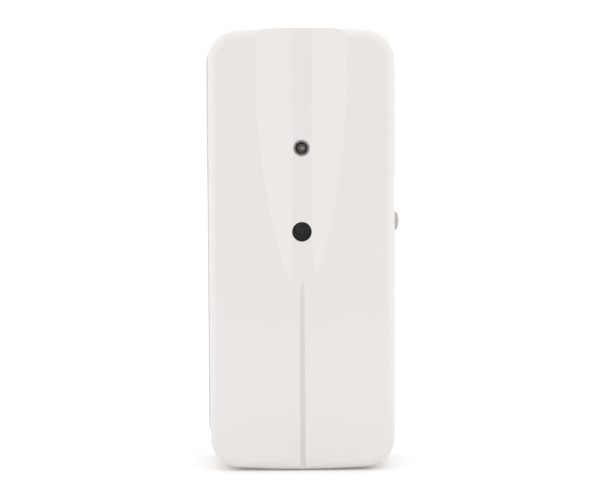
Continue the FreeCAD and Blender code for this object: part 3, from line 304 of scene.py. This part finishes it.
button_grey = grained("grey button plastic", tone(196, 190, 183), tone(190, 184, 177), 0.32,
                      depth=0.003)
switch_black = grained("black switch plastic", tone(44, 43, 43), tone(38, 37, 38), 0.45)
tray_black = grained("black tray plastic", tone(48, 47, 47), tone(42, 41, 41), 0.55, grain=0.4,
                     depth=0.012)
plunger_cream = grained("cream plunger plastic", tone(228, 221, 203), tone(222, 213, 192), 0.35)
boot_rubber = grained("boot rubber", tone(36, 35, 34), tone(30, 29, 29), 0.8, grain=0.15,
                      depth=0.01, more={"Specular IOR Level": 0.3})
nylon = grained("spacer nylon", tone(232, 227, 214), tone(226, 220, 205), 0.42, grain=0.5,
                more={"Subsurface Weight": 0.15, "Subsurface Radius": (0.001, 0.001, 0.0008),
                      "Subsurface Scale": 0.5})
for name, finish in (("test_switch_body", switch_black), ("tamper_switch_body", switch_black),
                     ("battery_holder", tray_black), ("test_switch_plunger", plunger_cream),
                     ("tamper_plunger", plunger_cream), ("microphone_boot", boot_rubber),
                     ("led_spacer", nylon)):
    wear(name, finish)
print("plastics finished")

# %% [markdown]
# ## Metals
# Drawn, rolled and turned metal differ in the run of their fine scratches. Rolled sheet and drawn
# wire have them along one axis, so their noise is stretched that way. Turned parts have rings
# about their own middle. Tin and nickel also carry dull spots.

# %% Metals
def extent(name):
    """Lowest and highest corner of a CAD part, in millimetres."""
    return [[value / MM for value in corner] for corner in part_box(name)]


def drawn(name, light, deep, rough, along, grain=0.1, depth=0.003):
    """Bare metal whose scratches run along one axis: the scale on that axis is small."""
    finish = Finish(name)
    scratches = finish.noise(finish.place(scale=along), grain, detail=2.0)
    spots = finish.noise(finish.place(), 1.6)
    return finish.shell({
        "Base Color": finish.mix(spots.above(0.56, 0.3), light, deep), "Metallic": 1.0,
        "Roughness": scratches * 0.16 + spots * 0.14 + (rough - 0.15),
        "Normal": finish.bump(scratches, depth, 0.5)})


def nearest(axes, centres):
    """Distance from the nearest of several centres in the plane of the board."""
    x, y, z = axes
    reach = None
    for middle_x, middle_z in centres:
        across, up = x - middle_x, z - middle_z
        away = (across * across + up * up).math("SQRT")
        reach = away if reach is None else reach.math("MINIMUM", away)
    return reach


def turned_metal(name, light, deep, rough, centres, pitch=0.12):
    """Bare metal with turning rings about the given centres."""
    finish = Finish(name)
    where = finish.place()
    rings = (nearest(finish.axes(where), centres) * (2 * math.pi / pitch)).math("SINE")
    worn = finish.noise(where, 0.5)
    return finish.shell({
        "Base Color": finish.mix(worn.above(0.5, 0.4), light, deep), "Metallic": 1.0,
        "Roughness": rings * 0.03 + worn * 0.15 + (rough - 0.08),
        "Normal": finish.bump(rings * worn, 0.004, 0.6)})


ZINC, ZINC_DEEP = tone(196, 198, 203), tone(176, 180, 188)
TIN, TIN_DEEP = tone(212, 211, 207), tone(190, 189, 186)
NICKEL, NICKEL_DEEP = tone(205, 200, 190), tone(186, 181, 172)
(low_x, _, low_z), (high_x, _, high_z) = extent("board_screws")
HEAD_RADIUS = 2.3
screw_places = [(high_x - HEAD_RADIUS, high_z - HEAD_RADIUS),
                (low_x + HEAD_RADIUS, low_z + HEAD_RADIUS)]
(low_x, _, low_z), (high_x, _, high_z) = extent("microphone_capsule")
capsule_place = [((low_x + high_x) / 2, (low_z + high_z) / 2)]
wear("board_screws", turned_metal("zinc plated screw", ZINC, ZINC_DEEP, 0.3, screw_places))
wear("microphone_capsule", turned_metal("capsule aluminium", tone(200, 201, 203),
                                        tone(184, 185, 188), 0.34, capsule_place, pitch=0.2))
tinned = drawn("tinned lead", TIN, TIN_DEEP, 0.28, (1.0, 0.15, 1.0), grain=0.08)
nickel = drawn("nickel strip", NICKEL, NICKEL_DEEP, 0.3, (1.0, 1.0, 0.08))
nickel_wire = drawn("nickel wire", NICKEL, NICKEL_DEEP, 0.25, (1.0, 0.2, 1.0), grain=0.06)
for name, finish in (("led_leads", tinned), ("processor_leads", tinned),
                     ("amplifier_leads", tinned), ("battery_contact_plus", nickel),
                     ("battery_contact_minus", nickel), ("tamper_spring", nickel_wire),
                     ("battery_spring", nickel_wire)):
    wear(name, finish)
wear("radio_shield", drawn("tinned shield sheet", tone(206, 206, 204), tone(184, 184, 182), 0.36,
                           (0.06, 1.0, 1.0), grain=0.14))
wear("crystal", drawn("crystal can", tone(208, 206, 200), tone(190, 188, 182), 0.24,
                      (0.08, 1.0, 1.0), grain=0.1))
wear("antenna_wire", drawn("enamelled copper", tone(196, 118, 72), tone(176, 98, 58), 0.24,
                           (0.15, 0.4, 0.15), grain=0.12))
print("metals finished")

# %% [markdown]
# ## Circuit board
# The board is glass laminate under green solder mask. Copper tracks lie under the mask, so they are
# a lighter green and stand up by a few hundredths of a millimetre. They run in patches, now upright
# and now across, and a ground plane fills the rest. Bare tinned rings surround the screws and the
# leads. The cut edges show the yellowish laminate with its layers of glass.

# %% Circuit board
MASK = tone(28, 92, 58)
MASK_OVER_COPPER = tone(46, 120, 72)
LAMINATE = tone(196, 184, 128)
LAMINATE_DEEP = tone(168, 156, 104)
TRACK_PITCH = 1.0
TRACK_SHARE = 0.45

(_, board_front, _), (_, board_back, _) = extent("circuit_board")
(low_x, _, low_z), (high_x, _, high_z) = extent("led_leads")
led_z = (low_z + high_z) / 2
mic_x, mic_z = capsule_place[0]
LEAD_OFFSET = 1.27
pad_places = [(side * LEAD_OFFSET, z) for side in (-1, 1) for z in (led_z, mic_z)]
board = Finish("circuit board")
where = board.place()
axes = board.axes(where)
x, y, z = axes
patch = board.noise(where, 7.0, detail=0.0).above(0.5, 0.01)
upright = (x / TRACK_PITCH).math("FRACT").above(1 - TRACK_SHARE, 0.08)
across = (z / TRACK_PITCH).math("FRACT").above(1 - TRACK_SHARE, 0.08)
plane = board.noise(board.place(middle=(3.0, 0.0, 9.0)), 9.0, detail=0.0).above(0.56, 0.01)
tracks = (upright * patch + across * (1.0 - patch)).math("MAXIMUM", plane)
rings = (1.05 - nearest(axes, pad_places)).above(0.0, 0.03)
rings = rings.math("MAXIMUM", (3.4 - nearest(axes, screw_places)).above(0.0, 0.03))
inside = (y - (board_front + 0.03)).above(0.0, 0.005) * ((board_back - 0.03) - y).above(0.0, 0.005)
weave = board.noise(board.place(scale=(1.0, 6.0, 1.0)), 0.3)
colour = board.mix(tracks, MASK, MASK_OVER_COPPER)
colour = board.mix(board.noise(where, 12.0) * 0.25, colour, tone(20, 74, 48))
colour = board.mix(rings, colour, TIN)
colour = board.mix(inside, colour, board.mix(weave, LAMINATE, LAMINATE_DEEP))
wear("circuit_board", board.shell({
    "Base Color": colour,
    "Metallic": rings * (1.0 - inside),
    "Roughness": weave * 0.1 + inside * 0.4 + 0.22,
    "Normal": board.bump((tracks + rings) * (1.0 - inside), 0.035, 0.8,
                         board.bump(weave, 0.006, 0.5))}))
print("board finished")

# %% [markdown]
# ## Chips and chip parts
# The chips are black epoxy with the dull, even surface of a spark-eroded mould. Each ceramic chip
# part has tinned ends, so the finish measures how far a point is from the middle of its column.

# %% Chips and chip parts
epoxy = grained("chip epoxy", tone(40, 40, 42), tone(34, 34, 36), 0.62, grain=0.08, depth=0.008)
wear("processor_chip", epoxy)
wear("amplifier_chip", epoxy)

END_CAP_FROM = 0.68
HALF_CHIP = 1.0
amplifier_low, amplifier_high = extent("amplifier_leads")
processor_low, processor_high = extent("processor_leads")
columns = [processor_low[0] - HALF_CHIP - 1.0, processor_high[0] + HALF_CHIP + 1.0,
           amplifier_low[0] - HALF_CHIP - 1.0, amplifier_high[0] + HALF_CHIP + 1.0]
ceramic = Finish("ceramic chip parts")
where = ceramic.place()
x, y, z = ceramic.axes(where)
off = None
for column in columns:
    away = (x - column).math("ABSOLUTE")
    off = away if off is None else off.math("MINIMUM", away)
caps = off.above(END_CAP_FROM, 0.03)
grain = ceramic.noise(where, 0.15)
body = ceramic.mix(ceramic.noise(where, 2.0).above(0.5, 0.3), tone(178, 142, 104),
                   tone(150, 116, 82))
wear("chip_parts", ceramic.shell({
    "Base Color": ceramic.mix(caps, body, TIN), "Metallic": caps,
    "Roughness": grain * 0.15 + 0.35, "Normal": ceramic.bump(grain + caps * 2.0, 0.012, 0.5)}))
print("chips finished")

# %% [markdown]
# ## Capacitor
# The capacitor is an aluminium can in a dark sleeve with one plain pale stripe. Its bare top is
# pressed in a cross, so that it can open gently. Masks on Object coordinates, measured from the
# middle of the can's top, tell these places apart, so that one material serves the whole can.

# %% Capacitor
(low_x, can_front, low_z), (high_x, _, high_z) = extent("storage_capacitor")
can_x, can_z = (low_x + high_x) / 2, (low_z + high_z) / 2
sleeve = Finish("capacitor sleeve and top")
where = sleeve.place(middle=(can_x, can_front, can_z))
x, y, z = sleeve.axes(where)
out = (x * x + z * z).math("SQRT")
top = (0.15 - y).above(0.0, 0.02) * (1.9 - out).above(0.0, 0.02)
stripe = (x * -1.0 - 1.9).above(0.0, 0.04) * (1.0 - top)
cross = (0.16 - x.math("ABSOLUTE").math("MINIMUM", z.math("ABSOLUTE"))).above(0.0, 0.08) * top
film = sleeve.noise(where, 0.8)
colour = sleeve.mix(stripe, tone(44, 48, 66), tone(188, 190, 196))
wear("storage_capacitor", sleeve.shell({
    "Base Color": sleeve.mix(top, colour, tone(200, 200, 200)), "Metallic": top,
    "Roughness": film * 0.12 + 0.24,
    "Normal": sleeve.bump(cross * -1.0 + film * 0.1, 0.15, 0.6)}))
print("capacitor finished")

# %% [markdown]
# ## Cell
# The cell wears a plain blue sleeve of shrunk film, pulled in at both ends, and its ends are bare
# steel. The film's small folds run along the cell, so their noise is stretched that way, and a
# second relief near the ends shows where the film was drawn in.

# %% Cell
(cell_left, _, _), (cell_right, _, _) = extent("battery")
film = Finish("cell sleeve and steel ends")
where = film.place()
x, y, z = film.axes(where)
from_left, from_right = x - cell_left, (cell_right - 1.0) - x
covered = from_left.above(0.06, 0.02) * from_right.above(0.06, 0.02)
gather = (from_left.math("MINIMUM", from_right) * 5.0).math("SINE") * from_left.above(0.06, 0.02)
gather = gather * (2.5 - from_left.math("MINIMUM", from_right)).above(0.0, 2.0)
folds = film.noise(film.place(scale=(0.12, 1.0, 1.0)), 1.2)
colour = film.mix(film.noise(where, 9.0), tone(52, 88, 140), tone(42, 74, 124))
wear("battery", film.shell({
    "Base Color": film.mix(covered, tone(190, 190, 188), colour),
    "Metallic": 1.0 - covered,
    "Roughness": folds * 0.16 + 0.16 + covered * 0.06,
    "Normal": film.bump(gather * 0.3 + folds * 0.3, 0.08, 0.5)}))
print("cell finished")

# %% [markdown]
# ## Turned pieces
# A round piece starts as a small disc on its own axis. The disc is drawn out and resized step by
# step along a profile, and so becomes a closed solid. Then it is turned to its axis, moved to its
# place, and its move is applied, so that its own axes are those of the sensor. The square pieces
# start as a cube and get their edges from a Bevel modifier.

# %% Helpers for pieces
SMOOTH_ANGLE = math.radians(35)


def round_profile(middle, radius, start, end, steps):
    """Points on an arc as (radius from the axis, place along it). Degrees start at the tip."""
    angles = [math.radians(start + (end - start) * step / steps) for step in range(steps + 1)]
    return [(max(radius * math.sin(angle), 0.01), middle - radius * math.cos(angle))
            for angle in angles]


def turned_piece(name, profile, place, turn=(math.pi / 2, 0.0, 0.0), sides=64):
    """Closed round piece. The profile holds (radius, place along the axis) in millimetres."""
    bpy.ops.object.select_all(action="DESELECT")
    radius, along = profile[0]
    bpy.ops.mesh.primitive_circle_add(vertices=sides, radius=radius * MM, fill_type="NGON",
                                      location=(0, 0, -along * MM))
    piece = bpy.context.object
    piece.name = name
    bpy.ops.object.transform_apply(location=True)
    bpy.ops.object.mode_set(mode="EDIT")
    bpy.ops.mesh.select_all(action="SELECT")
    for (radius, along), (next_radius, next_along) in zip(profile, profile[1:]):
        step = (along - next_along) * MM
        bpy.ops.mesh.extrude_region_move(TRANSFORM_OT_translate={"value": (0, 0, step)})
        share = next_radius / radius
        bpy.ops.transform.resize(value=(share, share, 1), center_override=(0, 0, -next_along * MM))
    bpy.ops.mesh.select_all(action="SELECT")
    bpy.ops.mesh.normals_make_consistent(inside=False)
    bpy.ops.object.mode_set(mode="OBJECT")
    piece.rotation_euler = turn
    piece.location = [value * MM for value in place]
    bpy.ops.object.transform_apply(location=True, rotation=True)
    bpy.ops.object.shade_smooth_by_angle(angle=SMOOTH_ANGLE)
    return piece


def block(name, low, high):
    """Box between two corners, in millimetres."""
    bpy.ops.object.select_all(action="DESELECT")
    middle = [(a + b) / 2 * MM for a, b in zip(low, high)]
    bpy.ops.mesh.primitive_cube_add(size=1.0, location=middle)
    piece = bpy.context.object
    piece.name = name
    piece.scale = [(b - a) * MM for a, b in zip(low, high)]
    bpy.ops.object.transform_apply(location=True, scale=True)
    return piece


def bevelled(piece, width, segments=2):
    """Rounds the sharp edges of a piece, in millimetres, and applies it."""
    bpy.ops.object.select_all(action="DESELECT")
    piece.select_set(True)
    bpy.context.view_layer.objects.active = piece
    edge = piece.modifiers.new("rounding", "BEVEL")
    edge.width = width * MM
    edge.segments = segments
    edge.limit_method = "ANGLE"
    bpy.ops.object.modifier_apply(modifier=edge.name)
    bpy.ops.object.shade_smooth_by_angle(angle=SMOOTH_ANGLE)
    return piece


def fitted(piece, body, finish):
    """The piece rides on a body and takes its finish."""
    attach(piece, body)
    piece.data.materials.clear()
    piece.data.materials.append(finish)
    return piece


print("piece helpers ready")

# %% [markdown]
# ## Status light
# The light is a clear 3 mm lens with a flange at its foot. It could be a plain glassy ball, but its
# straight wall and its flange bend the view of what is inside, so the whole outline is turned.
# Clear epoxy has a refractive index of 1.52, and a faint waviness breaks its reflections a little.

# %% Lens
LENS_RADIUS = 1.5
FLANGE_RADIUS = 1.9
FLANGE_HEIGHT = 1.0
LENS_EDGE = 0.05
LENS_SIDES = 96
LENS_ARC_STEPS = 24
EPOXY_INDEX = 1.52
(_, led_tip, _), (_, led_base, _) = extent("status_led")
lens_profile = round_profile(led_tip + LENS_RADIUS, LENS_RADIUS, 0.5, 90, LENS_ARC_STEPS)
lens_profile += [(LENS_RADIUS, led_base - FLANGE_HEIGHT - LENS_EDGE),
                 (LENS_RADIUS + LENS_EDGE, led_base - FLANGE_HEIGHT),
                 (FLANGE_RADIUS - LENS_EDGE, led_base - FLANGE_HEIGHT),
                 (FLANGE_RADIUS, led_base - FLANGE_HEIGHT + LENS_EDGE), (FLANGE_RADIUS, led_base)]
lens = turned_piece("led_lens", lens_profile, (0.0, 0.0, led_z), sides=LENS_SIDES)
CLEARNESS = 0.94
EPOXY_TONE = tone(236, 228, 220)
EPOXY_TONE_DEEP = tone(228, 220, 210)
epoxy_clear = Finish("clear lens epoxy")
where = epoxy_clear.place()
epoxy_clear.shell({
    "Base Color": epoxy_clear.mix(epoxy_clear.noise(where, 1.0), EPOXY_TONE, EPOXY_TONE_DEEP),
    "Roughness": epoxy_clear.noise(where, 0.6) * 0.03 + 0.02, "Transmission Weight": CLEARNESS,
    "IOR": EPOXY_INDEX, "Normal": epoxy_clear.bump(epoxy_clear.noise(where, 0.9), 0.004, 0.4)})
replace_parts(fitted(lens, "case", epoxy_clear.material), "status_led")
wear("status_led", epoxy_clear.material)
print("lens made")

# %% [markdown]
# ## Lead frame
# Two flat posts stand inside the lens. Between them is a small cup that holds the pale die. Their
# metal is painted dark grey, as painted shade deep in the lens. Seen through the lens they fill
# most of the hole, so they are real pieces and no picture of them.

# %% Lead frame
FRAME_FRONT = 2.4
POSTS = (("led_post_minus", -1.0, -0.32), ("led_post_plus", 0.45, 0.9))
POST_BEHIND_CUP = 0.35
POST_HALF_WIDTH = 0.2
POST_FOOT_GAP = 0.02
POST_ROUNDING = 0.06
CUP_HEIGHT = 0.45
CUP_DEPTH = 0.28
CUP_FLOOR_RADIUS = 0.2
CUP_MOUTH_RADIUS = 0.4
CUP_RIM_RADIUS = 0.47
CUP_FOOT_RADIUS = 0.45
DIE_LOW = (-0.12, 0.04, -0.16)
DIE_HIGH = (0.3, 0.3, 0.14)
DIE_ROUNDING = 0.02
# Painted shade: the frame's metal is a dark grey, where plated metal would be bright.
SHADED_FRAME_TONE = tone(84, 78, 78)
SHADED_FRAME_TONE_DEEP = tone(66, 61, 62)
frame_metal_shaded = drawn("lead frame painted dark", SHADED_FRAME_TONE, SHADED_FRAME_TONE_DEEP, 0.35,
                    (1.0, 0.1, 1.0), grain=0.08)
frame_y = led_tip + FRAME_FRONT
for name, low_x, high_x in POSTS:
    post = block(name, (low_x, frame_y + POST_BEHIND_CUP, led_z - POST_HALF_WIDTH),
                 (high_x, led_base - POST_FOOT_GAP, led_z + POST_HALF_WIDTH))
    fitted(bevelled(post, POST_ROUNDING), "case", frame_metal_shaded)
cup_profile = [(CUP_FLOOR_RADIUS, frame_y + CUP_DEPTH), (CUP_MOUTH_RADIUS, frame_y),
               (CUP_RIM_RADIUS, frame_y), (CUP_FOOT_RADIUS, frame_y + CUP_HEIGHT),
               (0.05, frame_y + CUP_HEIGHT)]
cup = turned_piece("led_cup", cup_profile, (0.02, 0.0, led_z - 0.04), sides=48)
fitted(cup, "case", frame_metal_shaded)
die_finish = grained("light die", tone(236, 214, 194), tone(222, 198, 178), 0.4, grain=0.05)
die = block("led_die", (DIE_LOW[0], frame_y + DIE_LOW[1], led_z + DIE_LOW[2]),
            (DIE_HIGH[0], frame_y + DIE_HIGH[1], led_z + DIE_HIGH[2]))
fitted(bevelled(die, DIE_ROUNDING), "case", die_finish)
print("lead frame made")

# %% [markdown]
# ## Sleeve ring
# A grey plastic ring lines the hole round the lens and shows as a soft grey rim. The ring is a
# lining, and its grey is painted shade, the shade on the wall of the hole. It is an open cylinder
# that a Solidify modifier gives its wall, and its edges are rounded afterwards.

# %% Sleeve ring
SLEEVE_INNER = 1.56
SLEEVE_OUTER = 1.97
SLEEVE_ROUNDING = 0.05
SLEEVE_FRONT = led_tip + 0.35
SLEEVE_BACK = led_base - FLANGE_HEIGHT - LENS_EDGE
bpy.ops.object.select_all(action="DESELECT")
bpy.ops.mesh.primitive_cylinder_add(
    vertices=LENS_SIDES, radius=SLEEVE_OUTER * MM, depth=(SLEEVE_BACK - SLEEVE_FRONT) * MM,
    end_fill_type="NOTHING", location=(0, (SLEEVE_FRONT + SLEEVE_BACK) / 2 * MM, led_z * MM),
    rotation=(math.pi / 2, 0, 0))
sleeve_ring = bpy.context.object
sleeve_ring.name = "led_sleeve"
bpy.ops.object.transform_apply(location=True, rotation=True)
wall = sleeve_ring.modifiers.new("wall", "SOLIDIFY")
wall.thickness = (SLEEVE_OUTER - SLEEVE_INNER) * MM
wall.offset = -1.0
bpy.ops.object.modifier_apply(modifier=wall.name)
# Painted shade: the ring's grey stands for the shaded wall of the hole.
sleeve_shade_grey = grained("sleeve plastic painted shade grey", tone(176, 171, 176), tone(166, 160, 166), 0.3,
                depth=0.002, more={"Subsurface Weight": 0.3, "Subsurface Scale": 0.5,
                                   "Subsurface Radius": (0.001, 0.001, 0.001)})
fitted(bevelled(sleeve_ring, SLEEVE_ROUNDING), "case", sleeve_shade_grey)
print("sleeve ring made")

# %% [markdown]
# ## Foam plug
# The microphone breathes through a plug of open-cell foam. Its block is rebuilt as an even skin of
# small faces and pressed in by a cell pattern, so its face has real pits. It stays inside the place
# of the CAD plug.

# %% Foam plug
FOAM_SKIN = 0.11
FOAM_CELL = 0.42
FOAM_PIT = 0.22
(_, foam_front, foam_low), (_, foam_back, foam_high) = extent("microphone_foam")
foam_radius = (foam_high - foam_low) / 2
bpy.ops.object.select_all(action="DESELECT")
bpy.ops.mesh.primitive_cylinder_add(
    vertices=64, radius=foam_radius * MM, depth=(foam_back - foam_front) * MM,
    location=(mic_x * MM, (foam_front + foam_back) / 2 * MM, mic_z * MM),
    rotation=(math.pi / 2, 0, 0))
foam = bpy.context.object
foam.name = "foam_plug"
bpy.ops.object.transform_apply(location=True, rotation=True)
skin = foam.modifiers.new("skin", "REMESH")
skin.mode = "VOXEL"
skin.voxel_size = FOAM_SKIN * MM
bpy.ops.object.modifier_apply(modifier=skin.name)
cells = bpy.data.textures.new("foam cells", "VORONOI")
cells.noise_scale = FOAM_CELL * MM
press = foam.modifiers.new("pits", "DISPLACE")
press.texture = cells
press.texture_coords = "LOCAL"
press.strength = -FOAM_PIT * MM
press.mid_level = 0.0
bpy.ops.object.modifier_apply(modifier=press.name)
bpy.ops.object.shade_smooth()
foam_black = Finish("black foam")
where = foam_black.place()
strands = foam_black.noise(where, 0.12, detail=4.0, rough=0.7)
clumps = foam_black.noise(where, 0.7, detail=2.0)
foam_black.shell({
    "Base Color": foam_black.mix((strands * 0.3 + clumps * 0.7).above(0.5, 0.22),
                                 tone(27, 25, 25), tone(47, 44, 45)),
    "Roughness": strands * 0.1 + 0.86, "Specular IOR Level": 0.3,
    "Normal": foam_black.bump(strands, 0.04, 0.8)})
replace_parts(fitted(foam, "case", foam_black.material), "microphone_foam")
wear("microphone_foam", foam_black.material)
print("foam faces:", len(foam.data.polygons))

# %% [markdown]
# ## Test button
# The button's cap is turned again with a smooth dome and a smooth rounded rim, because these show
# as one soft highlight at the sensor's right edge. It ends 0.2 mm short of the CAD cap.

# %% Test button
CAP_SHORTER = 0.2
DOME_RADIUS = 4.5
RIM_ROUNDING = 0.5
CAP_RADIUS = 2.3
BUTTON_FLANGE_RADIUS = 3.5
BUTTON_STEM_RADIUS = 1.5
BUTTON_FLANGE_LENGTH = 1.0
STEM_LENGTH = 2.4
RIM_STEPS = 8
DOME_STEPS = 10
(stem_x, low_y, low_z), (tip_x, high_y, high_z) = extent("test_button")
tip_x -= CAP_SHORTER
button_y, button_z = (low_y + high_y) / 2, (low_z + high_z) / 2
edge = CAP_RADIUS - RIM_ROUNDING
rim_back = math.sqrt((DOME_RADIUS - RIM_ROUNDING) ** 2 - edge ** 2)
rim_turn = math.degrees(math.asin(edge / (DOME_RADIUS - RIM_ROUNDING)))
profile = round_profile(DOME_RADIUS, DOME_RADIUS, 0.3, rim_turn, DOME_STEPS)
for step in range(1, RIM_STEPS + 1):
    angle = math.radians(rim_turn + (90 - rim_turn) * step / RIM_STEPS)
    profile.append((edge + RIM_ROUNDING * math.sin(angle),
                    DOME_RADIUS - rim_back - RIM_ROUNDING * math.cos(angle)))
flange_at = tip_x - stem_x - STEM_LENGTH - BUTTON_FLANGE_LENGTH
profile += [(CAP_RADIUS, flange_at), (BUTTON_FLANGE_RADIUS, flange_at),
            (BUTTON_FLANGE_RADIUS, flange_at + BUTTON_FLANGE_LENGTH),
            (BUTTON_STEM_RADIUS, flange_at + BUTTON_FLANGE_LENGTH),
            (BUTTON_STEM_RADIUS, tip_x - stem_x)]
cap = turned_piece("button_cap", profile, (tip_x, button_y, button_z), turn=(0, math.pi / 2, 0))
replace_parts(fitted(cap, "test_button", button_grey), "test_button")
wear("test_button", button_grey)
print("button made")

# %% [markdown]
# ## Studio floor
# The sensor stands on white paper. For the camera, and in gloss and glass, the paper is lifted to
# white by a little light of its own, and what is left of it below white is the sensor's soft
# shadow. That light is off for all other rays, so it doesn't brighten the sensor.

# %% Floor
FLOOR_Z = cad_box[0][2]
FLOOR_SIZE = 6.0
FLOOR_SHADE = 0.9
FLOOR_ROUGHNESS = 0.9
FLOOR_LIFT = 0.15
BLACK = (0.0, 0.0, 0.0)
WHITE = (1.0, 1.0, 1.0)


def white_rays(finish):
    """1 for the rays that should see plain white: from the camera, in gloss and in glass."""
    kinds = ("Is Camera Ray", "Is Glossy Ray", "Is Transmission Ray")
    seen = [finish.node("ShaderNodeLightPath", output=kind) for kind in kinds]
    return (seen[0] + seen[1] + seen[2]).math("MINIMUM", 1.0)


def stage_sheet(name, finish):
    """Names the sheet that was just added and gives it a finish."""
    sheet = bpy.context.object
    sheet.name = name
    sheet.data.materials.append(finish)
    return sheet


bpy.ops.object.select_all(action="DESELECT")
bpy.ops.mesh.primitive_plane_add(size=FLOOR_SIZE, location=(0, 0, FLOOR_Z))
paper = Finish("studio paper")
stage_sheet("studio_floor", paper.shell({
    "Base Color": (FLOOR_SHADE, FLOOR_SHADE, FLOOR_SHADE), "Roughness": FLOOR_ROUGHNESS,
    "Specular IOR Level": 0.0, "Emission Strength": FLOOR_LIFT,
    "Emission Color": paper.mix(white_rays(paper), BLACK, WHITE)}))
print("floor ready")

# %% [markdown]
# ## Camera side
# In a light tent only the side where the camera stands is dark, and it shows as the darker band
# down the middle of the scoop. Two sheets stand for it: an upright strip, and a card on the floor
# that grows lighter towards the sensor, so that it has no hard edge there. Both are seen in gloss
# only. They stay where they are when another view is taken, so in some views they show too.

# %% Camera side
STRIP_DISTANCE = 1.3
STRIP_ANGLE_LOW = math.radians(15.0)
STRIP_ANGLE_HIGH = math.radians(9.0)
STRIP_LIGHT = 0.15
STRIP_TOP_Z = 0.20
CARD_NEAR_Y = -0.0275
CARD_NEAR_HALF = 0.03
CARD_LIFT = 0.0005
CARD_LIGHT = 0.3
CARD_NEAR_LIGHT = 0.8
CARD_FADE_FROM = 0.12
CARD_FADE_TO = 0.5


def only_glow(finish, color, strength):
    """A black, dull finish that gives off light."""
    return finish.shell({"Base Color": BLACK, "Roughness": 1.0, "Specular IOR Level": 0.0,
                         "Emission Color": color, "Emission Strength": strength})


def gloss_only(sheet):
    """The sheet shows in reflections and neither blocks light nor throws a shadow."""
    sheet.visible_camera = False
    sheet.visible_diffuse = False
    sheet.visible_transmission = False
    sheet.visible_shadow = False


bpy.ops.object.select_all(action="DESELECT")
bpy.ops.mesh.primitive_plane_add(size=1.0, location=(0, -STRIP_DISTANCE, 0),
                                 rotation=(math.pi / 2, 0, 0))
bpy.ops.object.transform_apply(rotation=True)
strip = stage_sheet("camera_side", only_glow(Finish("camera side"), WHITE, STRIP_LIGHT))
for corner in strip.data.vertices:
    high = corner.co.z > 0
    half = STRIP_DISTANCE * math.tan(STRIP_ANGLE_HIGH if high else STRIP_ANGLE_LOW)
    corner.co.x = math.copysign(half, corner.co.x)
    corner.co.z = STRIP_TOP_Z if high else FLOOR_Z
gloss_only(strip)

bpy.ops.object.select_all(action="DESELECT")
bpy.ops.mesh.primitive_plane_add(size=1.0, location=(0, 0, FLOOR_Z + CARD_LIFT))
dim = Finish("camera stand")
reach = dim.axes(dim.node("ShaderNodeTexCoord", output="Object"))[1] * -1.0
fade = (reach - CARD_FADE_FROM) * (1.0 / (CARD_FADE_TO - CARD_FADE_FROM))
fade = fade.math("MAXIMUM", 0.0).math("MINIMUM", 1.0)
card_color = dim.mix(fade, (CARD_NEAR_LIGHT,) * 3, (CARD_LIGHT,) * 3)
card = stage_sheet("camera_stand", only_glow(dim, card_color, 1.0))
for corner in card.data.vertices:
    near = corner.co.y > 0
    half = CARD_NEAR_HALF if near else STRIP_DISTANCE * math.tan(STRIP_ANGLE_LOW)
    corner.co.x = math.copysign(half, corner.co.x)
    corner.co.y = CARD_NEAR_Y if near else -STRIP_DISTANCE
gloss_only(card)
print("camera side ready")

# %% [markdown]
# ## Lamps and room
# The walls of the tent light the sensor from all round, a little more from straight above and from
# the sides, as tent walls do that have lamps behind them. Two faint area lamps fill in from both
# sides in front. As on the floor, the room is exactly white for the camera, in gloss and in glass.

# %% Lamps and room
FRONT_DEPTH = -26 * MM
SIDE_PLACES = ((-0.16, -0.08, -0.01), (0.16, -0.08, -0.01))
SIDE_WIDTH = 0.12
SIDE_HEIGHT = 0.26
SIDE_POWER = 0.02
ROOM_LIGHT = 0.785
TOP_LIGHT = 0.6
TOP_TIGHTNESS = 4.0
SIDE_LIGHT = 0.15

room = Finish("studio room")
bpy.data.materials.remove(room.material)
world = bpy.data.worlds.new("studio room")
bpy.context.scene.world = world
world.use_nodes = True
room.tree = world.node_tree
room.tree.nodes.clear()
x, y, z = room.axes(room.node("ShaderNodeTexCoord", output="Generated"))
roof = z.math("MAXIMUM", 0.0).math("POWER", TOP_TIGHTNESS) * TOP_LIGHT
tent = roof + x.math("ABSOLUTE") * SIDE_LIGHT + ROOM_LIGHT
glow = room.node("ShaderNodeBackground", None, {
    "Color": room.mix(white_rays(room), tent, WHITE), "Strength": 1.0})
end = room.tree.nodes.new("ShaderNodeOutputWorld")
room.tree.links.new(glow.socket, end.inputs["Surface"])

for place in SIDE_PLACES:
    bpy.ops.object.light_add(type="AREA", location=place)
    lamp = bpy.context.object
    lamp.data.shape = "RECTANGLE"
    lamp.data.size = SIDE_WIDTH
    lamp.data.size_y = SIDE_HEIGHT
    lamp.data.energy = SIDE_POWER
    aim = Vector((0.0, FRONT_DEPTH, 0.0)) - lamp.location
    lamp.rotation_euler = aim.to_track_quat("-Z", "Y").to_euler()
    lamp.visible_camera = False

bpy.context.scene.view_settings.view_transform = "Standard"
print("studio ready")
